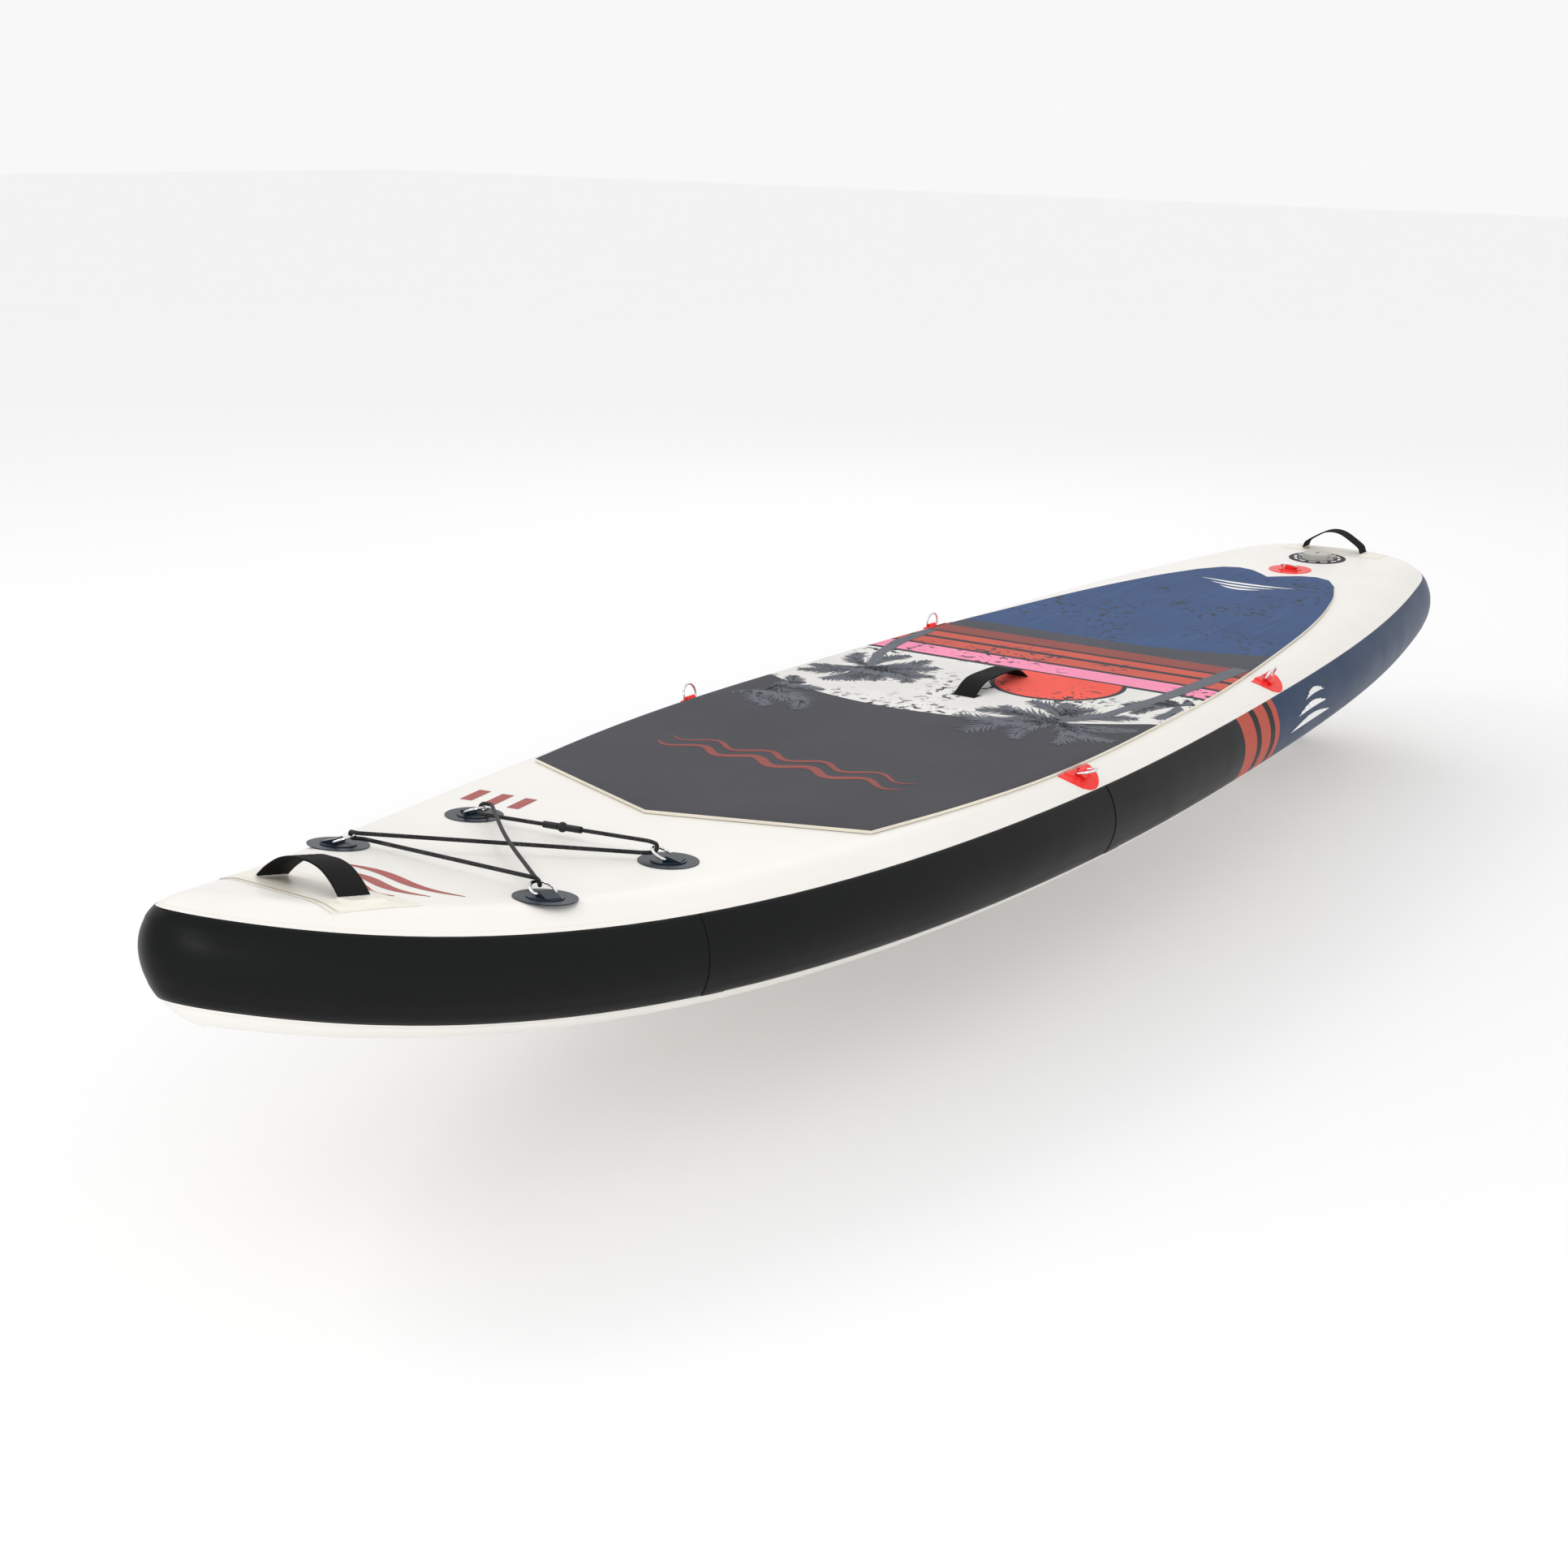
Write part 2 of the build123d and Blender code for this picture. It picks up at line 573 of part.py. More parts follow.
def bungee_cord():
    """One loop of cord through the four rings, joined between the two tail-side rings."""
    tail_port = around_ring(BUNGEE_TAIL_X, BUNGEE_TAIL_Y)
    nose_starboard = around_ring(BUNGEE_NOSE_X, -BUNGEE_NOSE_Y)
    nose_port = around_ring(BUNGEE_NOSE_X, BUNGEE_NOSE_Y)
    tail_starboard = around_ring(BUNGEE_TAIL_X, -BUNGEE_TAIL_Y)
    crossing_x = (BUNGEE_TAIL_X + BUNGEE_NOSE_X) / 2
    deck_z = rocker(crossing_x) + THICKNESS
    along = (tail_port[0] - tail_starboard[-1]).normalized()
    joint = (tail_port[0] + tail_starboard[-1]) * 0.5
    route = [
        joint + along * JOINER_HALF,
        *tail_port,
        Vector(crossing_x, 0, deck_z + CROSSING_LOW),
        *nose_starboard,
        *nose_port,
        Vector(crossing_x, 0, deck_z + CROSSING_HIGH),
        *tail_starboard,
        joint - along * JOINER_HALF,
    ]
    path = FilletPolyline(*route, radius=bend_radii(route)).wire()
    start = Plane(path.position_at(0), z_dir=path.tangent_at(0))
    cord = Solid.sweep(Face(Wire(Edge.make_circle(CORD_RADIUS, start))), path)
    print("cord length", round(path.length, 1))
    save("bungee_cord", cord)
    joiner(Location(Plane(joint, z_dir=along)))


def bend_radii(route):
    """The largest arc that fits each corner of a route."""
    radii = []
    for before, corner, after in zip(route, route[1:], route[2:]):
        turn = math.radians((corner - before).get_angle(after - corner))
        run = min((corner - before).length, (after - corner).length)
        radii.append(min(0.45 * run / math.tan(turn / 2), 900))
    return radii


def joiner(frame):
    """Ball and two barrels that hold the ends of the cord."""
    ball = Solid.make_sphere(BALL_RADIUS)
    save("bungee_joiner_ball", ball.moved(frame))
    barrels = []
    for end in (-1, 1):
        near, far = sorted((end * (BALL_RADIUS - 0.6), end * (JOINER_HALF - GLUE_LINE)))
        barrel = tube(BARREL_RADIUS, 0, near, far).cut(Solid.make_sphere(BALL_RADIUS + 0.1))
        barrels.append(barrel.moved(frame))
    save("bungee_joiner_barrels", *barrels)


# ---------------------------------------------------------------- carry handles
def strap(half_span, rise, width, foot, turn_across):
    """Webbing loop: two flat feet and a raised middle, swept along a bent line."""
    level = WEB_THICKNESS / 2
    shoulder = half_span * 0.5
    path = FilletPolyline(
        (-half_span - foot, level),
        (-half_span, level),
        (-shoulder, rise - level),
        (shoulder, rise - level),
        (half_span, level),
        (half_span + foot, level),
        radius=14,
    )
    wire = path.wire()
    section_plane = Plane(wire.position_at(0), x_dir=(0, 0, 1), z_dir=wire.tangent_at(0))
    section = section_plane * Rectangle(width, WEB_THICKNESS)
    loop = first_solid(Solid.sweep(section.face(), wire))
    stand = Location((0, 0, 0), (90, 0, 0))
    spin = Location((0, 0, 0), (0, 0, 90 if turn_across else 0))
    return loop.moved(spin * stand)


def end_handle(name, x, width, rise, patch_half_x, front_half_y, rear_half_y):
    """Nose or tail handle across the board, on a patch that narrows the way the deck does."""
    corners = [
        (patch_half_x, front_half_y),
        (-patch_half_x, rear_half_y),
        (-patch_half_x, -rear_half_y),
        (patch_half_x, -front_half_y),
    ]
    outline = Wire.make_polygon([Vector(*corner) for corner in corners], close=True)
    plan = Face(outline.fillet_2d(PATCH_CORNER, outline.vertices()))
    layer = slab(THICKNESS + GLUE_LINE, THICKNESS + PATCH_THICKNESS)
    patch = first_solid(prism(plan.moved(Location((x, 0, 0)))).intersect(layer))
    save(name + "_handle_patch", patch)
    loop = strap(60.0, rise, width, FOOT_LENGTH, True)
    save(name + "_handle_webbing", loop.moved(on_deck(x, 0, 0, PATCH_THICKNESS + 0.2)))


def centre_handle():
    """Centre handle along the board. Its feet lie in pockets under the pad."""
    loop = strap(86.0, CENTRE_HANDLE_RISE, CENTRE_WEB_WIDTH, FOOT_LENGTH, False)
    save("centre_handle_webbing", loop.moved(on_deck(CENTRE_HANDLE_X, 0, 0, 1.3)))
    feet = []
    for end in (-1, 1):
        middle = CENTRE_HANDLE_X + end * FOOT_OFFSET
        plan = Rectangle(38, 44).face().moved(Location((middle, 0, 0)))
        layer = slab(THICKNESS + GLUE_LINE, THICKNESS + 1.05)
        feet.append(first_solid(prism(plan).intersect(layer)))
    save("centre_handle_patches", *feet)


# ---------------------------------------------------------------- traction pad
def pad():
    """Foam pad with two slits and two underside pockets for the centre handle."""
    side = Edge.make_spline([Vector(x, y) for x, y in PAD_SIDE])
    other = Edge.make_spline([Vector(x, -y) for x, y in PAD_SIDE])
    corner = PAD_SIDE[0]
    front = Vector(PAD_FRONT_X, 0)
    plan = Wire(
        [
            side,
            other,
            Edge.make_line(Vector(corner[0], corner[1]), front),
            Edge.make_line(front, Vector(corner[0], -corner[1])),
        ]
    )
    layer = slab(THICKNESS + GLUE_LINE, THICKNESS + PAD_THICKNESS)
    foam = first_solid(prism(Face(plan)).intersect(layer))
    frame = on_deck(CENTRE_HANDLE_X, 0)
    for end in (-1, 1):
        slit_x = end * SLIT_OFFSET
        slit = box(slit_x - 11, slit_x + 11, -21.5, 21.5, -5, 10).moved(frame)
        foot_x = end * FOOT_OFFSET
        pocket = box(foot_x - 21, foot_x + 21, -24, 24, -5, 4.4).moved(frame)
        foam = foam.cut(slit, pocket)
    save("deck_pad", foam)


# ---------------------------------------------------------------- inflation valve
def valve():
    """Two-way valve: body through the deck, nut below, sprung stem, seal and hinged cap."""
    place = on_deck(VALVE_X, 0)
    save("valve_label_ring", tube(LABEL_OUTER, LABEL_INNER, 0.1, LABEL_THICKNESS).moved(place))

    flange = tube(FLANGE_RADIUS, VALVE_BORE, 0.15, FLANGE_HEIGHT)
    barrel = tube(VALVE_TUBE, VALVE_BORE, VALVE_STEP, 1)
    throat = VALVE_BORE - THROAT_STEP
    lower = tube(VALVE_TUBE, throat, -VALVE_DEPTH, VALVE_STEP)
    seat = tube(VALVE_TUBE, VALVE_BORE - SEAT_LIP, -VALVE_DEPTH, -VALVE_DEPTH + SEAT_THICKNESS)
    arm_end = throat + 1
    arm_half = SPIDER_WIDTH / 2
    spider = box(-arm_end, arm_end, -arm_half, arm_half, SPIDER_LOW, SPIDER_HIGH)
    spider = spider.fuse(box(-arm_half, arm_half, -arm_end, arm_end, SPIDER_LOW, SPIDER_HIGH))
    guide = tube(GUIDE_RADIUS, 0, SPIDER_LOW, SPIDER_HIGH)
    body = flange.fuse(barrel).fuse(lower).fuse(seat).fuse(spider).fuse(guide)
    body = body.cut(Solid.make_cylinder(2.9, 20).moved(Location((0, 0, -32))))
    pivot_z = FLANGE_HEIGHT + 3.0
    for end in (-1, 1):
        lug_x = end * LUG_OFFSET - LUG_THICKNESS / 2
        lug = box(lug_x, lug_x + LUG_THICKNESS, CAP_RADIUS + 0.6, CAP_PIVOT_Y + LUG_RADIUS, 0.9, pivot_z)
        head = Solid.make_cylinder(LUG_RADIUS, LUG_THICKNESS)
        head = head.moved(Location((lug_x, CAP_PIVOT_Y, pivot_z), (0, 90, 0)))
        body = body.fuse(lug.fuse(head))
    hinge_bore = Solid.make_cylinder(HINGE_BORE_RADIUS, 40)
    hinge_bore = hinge_bore.moved(Location((-20, CAP_PIVOT_Y, pivot_z), (0, 90, 0)))
    body = first_solid(body.cut(hinge_bore))
    save("valve_body", body.moved(place))

    pin = Solid.make_cylinder(HINGE_PIN_RADIUS, HINGE_PIN_LENGTH)
    pin = pin.moved(Location((-HINGE_PIN_LENGTH / 2, CAP_PIVOT_Y, pivot_z), (0, 90, 0)))
    save("valve_cap_pin", pin.moved(place))

    nut = tube(NUT_RADIUS, VALVE_TUBE + 0.15, NUT_BOTTOM, -SKIN - 0.2)
    save("valve_nut", nut.moved(place))

    poppet_top = -VALVE_DEPTH - POPPET_DROP
    stem = tube(STEM_RADIUS, 0, poppet_top - 1.8, STEM_TOP)
    button = tube(BUTTON_RADIUS, 0, BUTTON_LOW, STEM_TOP)
    poppet = tube(POPPET_RADIUS, 0, poppet_top - POPPET_THICKNESS, poppet_top)
    save("valve_stem", first_solid(stem.fuse(button).fuse(poppet)).moved(place))
    save("valve_seal", tube(SEAL_RADIUS, SEAL_BORE, poppet_top + 0.02, -VALVE_DEPTH - 0.1).moved(place))
    spring = tube(SPRING_OUTER, SPRING_INNER, SPIDER_HIGH + 0.1, BUTTON_LOW - 0.1)
    save("valve_spring", spring.moved(place))

    underside = FLANGE_HEIGHT + 0.3
    cap = tube(CAP_RADIUS, 0, underside, underside + CAP_HEIGHT)
    cap = cap.cut(box(-9, 9, -3, 3, underside + CAP_HEIGHT - 3, underside + CAP_HEIGHT + 1))
    arm = box(-4.6, 4.6, CAP_RADIUS - 3, CAP_PIVOT_Y, underside + 0.2, underside + 5)
    ear = Solid.make_cylinder(2.6, 9.2).moved(Location((-4.6, CAP_PIVOT_Y, pivot_z), (0, 90, 0)))
    save("valve_cap", first_solid(cap.fuse(arm).fuse(ear).cut(hinge_bore)).moved(place))


# ---------------------------------------------------------------- fins
def blade(root, tip, depth, thickness, rake, start):
    """Raked fin blade: thin oval sections that shrink and sweep back towards the tip."""
    sections = []
    count = 7
    for k in range(count):
        t = k / (count - 1)
        chord = root + (tip - root) * t**1.3
        thick = thickness * (1 - 0.55 * t)
        x = -rake * t**1.6
        z = start + (depth - start) * t
        oval = Edge.make_ellipse(chord / 2, thick / 2)
        sections.append(Wire([oval]).moved(Location((x, 0, z))))
    return Solid.make_loft(sections)


def centre_fin():
    """Slotted fin box under the tail, with a fin that slides in it and a screw that locks it."""
    place = under_board(FIN_X, 0)
    plan = RectangleRounded(330, 104, 20).face().moved(Location((FIN_X, 0, 0)))
    base = first_solid(prism(plan).intersect(slab(-1.2, -GLUE_LINE)))
    save("fin_box_patch", base)

    top = 1.45
    flange = box(-BOX_LENGTH / 2, BOX_LENGTH / 2, -BOX_WIDTH / 2, BOX_WIDTH / 2, top, top + BOX_FLANGE)
    rib_half = BOX_LENGTH / 2 - 8
    rib = box(-rib_half, rib_half, -BOX_RIB / 2, BOX_RIB / 2, top, top + BOX_HEIGHT)
    end = top + BOX_HEIGHT
    slot_half = SLOT_LENGTH / 2
    half = SLOT_WIDTH / 2
    slot = box(-slot_half, slot_half, -half, half, end - SLOT_DEPTH, end + 1)
    groove_z = end - GROOVE_LEVEL
    reach = half + GROOVE_DEPTH
    groove_low = groove_z - GROOVE_HEIGHT / 2
    groove = box(-slot_half, slot_half, -reach, reach, groove_low, groove_low + GROOVE_HEIGHT)
    mouth = box(-12, 12, -reach, reach, groove_z, end + 1)
    housing = flange.fuse(rib).cut(slot, groove, mouth)
    save("fin_box", first_solid(housing).moved(place))

    tab_top = end - SLOT_DEPTH + 1.2
    tab_half = FIN_TAB_THICKNESS / 2
    tab_end = FIN_TAB_LENGTH / 2
    tab_solid = box(-tab_end, tab_end - 30, -tab_half, tab_half, tab_top, end + 3)
    tongue = box(tab_end - 31, tab_end, -tab_half, tab_half, groove_z + 4.2, end + 3)
    foil = blade(FIN_ROOT, FIN_TIP_CHORD, FIN_DEPTH + end, 9.4, FIN_RAKE, end + 2.0)
    pin_x = FIN_PIN_INSET - tab_end
    pin_bore = lying_cylinder(FIN_PIN_BORE, -20, 20, pin_x, groove_z)
    screw_x = tab_end - SCREW_INSET
    screw_bore = Solid.make_cylinder(SCREW_BORE, 60).moved(Location((screw_x, 0, groove_z - 10)))
    counterbore = Solid.make_cylinder(SCREW_COUNTERBORE, 60).moved(Location((screw_x, 0, end + 0.5)))
    fin = tab_solid.fuse(tongue).fuse(foil).cut(pin_bore).cut(screw_bore).cut(counterbore)
    save("centre_fin", first_solid(fin).moved(place))

    pin = lying_cylinder(FIN_PIN_RADIUS, -reach + FIT_CLEARANCE, reach - FIT_CLEARANCE, pin_x, groove_z)
    save("fin_pin", pin.moved(place))
    nut_half = GROOVE_HEIGHT / 2 - FIT_CLEARANCE
    nut_y = reach - FIT_CLEARANCE
    nut = box(screw_x - 6, screw_x + 6, -nut_y, nut_y, groove_z - nut_half, groove_z + nut_half)
    nut = nut.cut(Solid.make_cylinder(2.05, 20).moved(Location((screw_x, 0, groove_z - 10))))
    save("fin_nut_plate", first_solid(nut).moved(place))
    shank = Solid.make_cylinder(SCREW_RADIUS, 19).moved(Location((screw_x, 0, groove_z - 4)))
    head = Solid.make_cylinder(SCREW_HEAD, 2.6).moved(Location((screw_x, 0, end + 0.6)))
    screw = shank.intersect(box(-200, 200, -9, 9, groove_z - 4, end + 2)).solids()[0].fuse(head)
    screw = screw.cut(box(screw_x - 5, screw_x + 5, -0.5, 0.5, end + 2.2, end + 5))
    save("fin_screw", first_solid(screw).moved(place))


def side_fins():
    """Two small fins glued either side of the fin box."""
    for name, side in (("port", 1), ("starboard", -1)):
        y = side * SIDE_FIN_Y
        place = under_board(SIDE_FIN_X, y)
        plan = RectangleRounded(150, 56, 16).face().moved(Location((SIDE_FIN_X, y, 0)))
        base = first_solid(prism(plan).intersect(slab(-1.2, -GLUE_LINE)))
        save("side_fin_patch_" + name, base)
        foot = box(-62, 62, -15, 15, 1.4, 5.0)
        foil = blade(SIDE_FIN_ROOT, 26, SIDE_FIN_DEPTH, 6.5, 42, 4.0)
        save("side_fin_" + name, first_solid(foot.fuse(foil)).moved(place))


hull_skins()
rails()
threads()
pad()
bungee_rings()
bungee_cord()
side_rings()
deck_ring("leash", LEASH_X, 0, RING_PATCH_RADIUS, 0, LEASH_RING_REST)
end_handle("nose", NOSE_HANDLE_X, NOSE_WEB_WIDTH, NOSE_HANDLE_RISE, *NOSE_PATCH)
end_handle("tail", TAIL_HANDLE_X, TAIL_WEB_WIDTH, TAIL_HANDLE_RISE, *TAIL_PATCH)
centre_handle()
valve()
centre_fin()
side_fins()

fin_depth = -min(s.bounding_box().min.Z for s in pieces["centre_fin"])
to_origin = Location((-LENGTH / 2, 0, fin_depth))
print("board coordinates move by", -LENGTH / 2, 0, round(fin_depth, 4))
for node, solids in pieces.items():
    moved = [solid.moved(to_origin) for solid in solids]
    export_step(moved[0] if len(moved) == 1 else Compound(moved), "parts/" + node + ".step")
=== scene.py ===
import json
import math
import random

import bmesh
import bpy
import numpy as np
from mathutils import Matrix, Vector
from mathutils.bvhtree import BVHTree

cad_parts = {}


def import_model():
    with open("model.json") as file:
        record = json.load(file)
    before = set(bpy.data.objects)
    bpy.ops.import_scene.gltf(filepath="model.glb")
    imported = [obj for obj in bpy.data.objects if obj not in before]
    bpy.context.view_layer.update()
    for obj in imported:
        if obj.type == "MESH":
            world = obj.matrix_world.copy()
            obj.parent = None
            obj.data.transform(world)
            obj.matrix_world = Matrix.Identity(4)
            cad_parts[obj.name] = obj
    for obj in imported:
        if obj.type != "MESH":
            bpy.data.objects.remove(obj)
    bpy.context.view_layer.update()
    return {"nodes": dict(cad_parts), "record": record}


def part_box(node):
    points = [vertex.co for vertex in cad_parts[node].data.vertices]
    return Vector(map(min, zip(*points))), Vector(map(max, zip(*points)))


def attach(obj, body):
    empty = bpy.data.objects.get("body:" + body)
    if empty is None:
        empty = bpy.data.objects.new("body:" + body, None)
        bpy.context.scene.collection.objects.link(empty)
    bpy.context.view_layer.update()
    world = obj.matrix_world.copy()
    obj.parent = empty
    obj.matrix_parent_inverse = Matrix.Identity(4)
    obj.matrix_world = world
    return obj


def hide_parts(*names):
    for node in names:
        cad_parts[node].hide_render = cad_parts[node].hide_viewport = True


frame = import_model()

# Board coordinates are in metres: X runs from the tail tip to the nose tip, Y is to port and
# Z is up from the lowest line of the bottom sheet. world() turns them into the shared frame.
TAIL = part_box("rail_tail")[0].x
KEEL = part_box("bottom_skin")[0].z
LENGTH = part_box("rail_nose")[1].x - TAIL
THICKNESS = 0.150
RAIL_RADIUS = THICKNESS / 2
SEAM_UP, SEAM_DOWN = 42.6, -38.4
OUTLINE = [
    (0, 0), (0.010, 0.085), (0.050, 0.167), (0.220, 0.242), (0.650, 0.315), (1.250, 0.364),
    (1.850, 0.380), (2.350, 0.340), (2.750, 0.2505), (3.020, 0.1435), (3.150, 0.066),
    (3.189, 0.030), (LENGTH, 0),
]
NOSE_CORE = 3.120
NOSE_LIFT, NOSE_LIFT_START, NOSE_LIFT_POWER = 0.1206, 1.5578, 5.11
TAIL_LIFT, TAIL_LIFT_START, TAIL_LIFT_POWER = 0.0269, 1.7857, 1.84

NOSE_LAP, MIDDLE_LAP = 2.605, 1.785
RAIL_STRIPES = [(1.310, 1.365), (1.250, 1.295), (1.205, 1.231)]
NAVY_FROM = 1.205

PAD_THICKNESS = 0.005
PAD_FRONT, PAD_CORNER, PAD_REAR = 2.395, 2.288, 0.452
PAD_SIDE = [
    (0.452, 0.141), (0.560, 0.181), (0.750, 0.227), (1.000, 0.266), (1.300, 0.302),
    (1.600, 0.318), (1.800, 0.323), (1.960, 0.318), (2.130, 0.300), (2.288, 0.274),
]
PAD_LOBES = [(0, 0.441), (0.022, 0.420), (0.050, 0.397), (0.080, 0.389), (0.110, 0.403), (0.141, 0.452)]
SUN_X, SUN_Y, SUN_RADIUS, SUN_FOOT = 1.437, 0.080, 0.100, 1.388

NOSE_HANDLE_X, CENTRE_HANDLE_X, TAIL_HANDLE_X = 2.976, 1.508, 0.105
SLIT_OFFSET, SLIT_HALF_X, SLIT_HALF_Y = 0.080, 0.011, 0.0215
PATCH_SLIT_Y, FOOT_COVER = 0.060, 0.030
NOSE_WELDS, WELD_HALF_Y, WELD_WIDTH, WELD_HEIGHT = (3.026, 3.034), 0.089, 0.0028, 0.0018
SIDE_PATCH_X = {"fore": 1.848, "aft": 1.163}
SIDE_PATCH_INSET = 0.057
VALVE_X = 0.193
SIDES = (("port", 1), ("starboard", -1))
random.seed(7)


def world(x, y, z):
    """A board-coordinate point in the shared frame."""
    return Vector((x + TAIL, y, z + KEEL))


# ---------------------------------------------------------------- shape of the board
def rocker(x):
    """Height of the bottom line at x."""
    nose = max(x - NOSE_LIFT_START, 0) / (LENGTH - NOSE_LIFT_START)
    tail = max(TAIL_LIFT_START - x, 0) / TAIL_LIFT_START
    return NOSE_LIFT * nose**NOSE_LIFT_POWER + TAIL_LIFT * tail**TAIL_LIFT_POWER


def closed_spline(points, per_run):
    """Samples of the smooth closed cubic curve through a list of points."""
    p = np.array(points, float)
    count = len(p)
    ahead = np.roll(p, -1, 0) - p
    run = np.linalg.norm(ahead, axis=1)
    behind = np.roll(run, 1)
    matrix = np.zeros((count, count))
    for i in range(count):
        matrix[i, i - 1] = behind[i]
        matrix[i, i] = 2 * (behind[i] + run[i])
        matrix[i, (i + 1) % count] += run[i]
    change = ahead / run[:, None]
    bend = np.linalg.solve(matrix, 6 * (change - np.roll(change, 1, 0)))
    samples = []
    for i in range(count):
        j = (i + 1) % count
        for t in np.arange(per_run) / per_run:
            a, b, h = 1 - t, t, run[i]
            cubic = ((a**3 - a) * bend[i] + (b**3 - b) * bend[j]) * h * h / 6
            samples.append(a * p[i] + b * p[j] + cubic)
    return np.array(samples)


def half_outline():
    """Points along the port side from the tail tip to the nose tip, and the inward directions."""
    mirrored = [(x, -y) for x, y in reversed(OUTLINE[1:-1])]
    per_run = 60
    loop = closed_spline(OUTLINE + mirrored, per_run)
    half = loop[: per_run * (len(OUTLINE) - 1) + 1]
    half[0], half[-1] = OUTLINE[0], OUTLINE[-1]
    along = np.gradient(half, axis=0)
    along /= np.linalg.norm(along, axis=1)[:, None]
    inward = np.stack([along[:, 1], -along[:, 0]], 1)
    inward[0], inward[-1] = (1, 0), (-1, 0)
    return half, inward


HALF, INWARD = half_outline()


def half_width(x):
    """Half the board's width at x."""
    return float(np.interp(x, HALF[:, 0], HALF[:, 1]))


def spoke(index):
    """An outline sample and the level direction from it towards the core."""
    point, inward = HALF[index], INWARD[index]
    if index in (0, len(HALF) - 1):
        return point, inward
    reach = point[1] / max(-inward[1], 1e-6)
    core = np.array([min(point[0] + inward[0] * reach, NOSE_CORE), 0.0])
    direction = core - point
    return point, direction / np.linalg.norm(direction)


def rail_point(index, angle, lift=0.0, side=1):
    """A point on the rail: angle is up from its outermost line, lift is out from the fabric."""
    point, inward = spoke(index)
    radius = RAIL_RADIUS + lift
    inset = RAIL_RADIUS - radius * math.cos(math.radians(angle))
    x, y = point + inward * inset
    z = rocker(x) + RAIL_RADIUS + radius * math.sin(math.radians(angle))
    return world(x, side * max(y, 0), z)


def sample_at(x):
    """The outline sample nearest to x."""
    return int(np.abs(HALF[:, 0] - x).argmin())


def deck_height(x, y):
    """Height of the deck sheet at a plan point, found by dropping a line on to it."""
    hit = DECK.ray_cast(world(x, y, 1.0), Vector((0, 0, -1)))[0]
    return hit.z - KEEL if hit else rocker(x) + RAIL_RADIUS


def deck_frame(x, turn=0.0, height=0.0):
    """Matrix of a place on the deck: local Z is square to it, local X is turned from the nose."""
    pitch = math.atan2(rocker(x + 0.001) - rocker(x - 0.001), 0.002)
    ahead = Vector((math.cos(pitch), 0, math.sin(pitch)))
    up = Vector((-math.sin(pitch), 0, math.cos(pitch)))
    port = Vector((0, 1, 0))
    base = Matrix((ahead, port, up)).transposed().to_4x4()
    base.translation = world(x, 0, rocker(x) + THICKNESS) + up * height
    return base @ Matrix.Rotation(math.radians(turn), 4, "Z")


# ---------------------------------------------------------------- materials
ROUGHNESS_SPREAD = 0.16


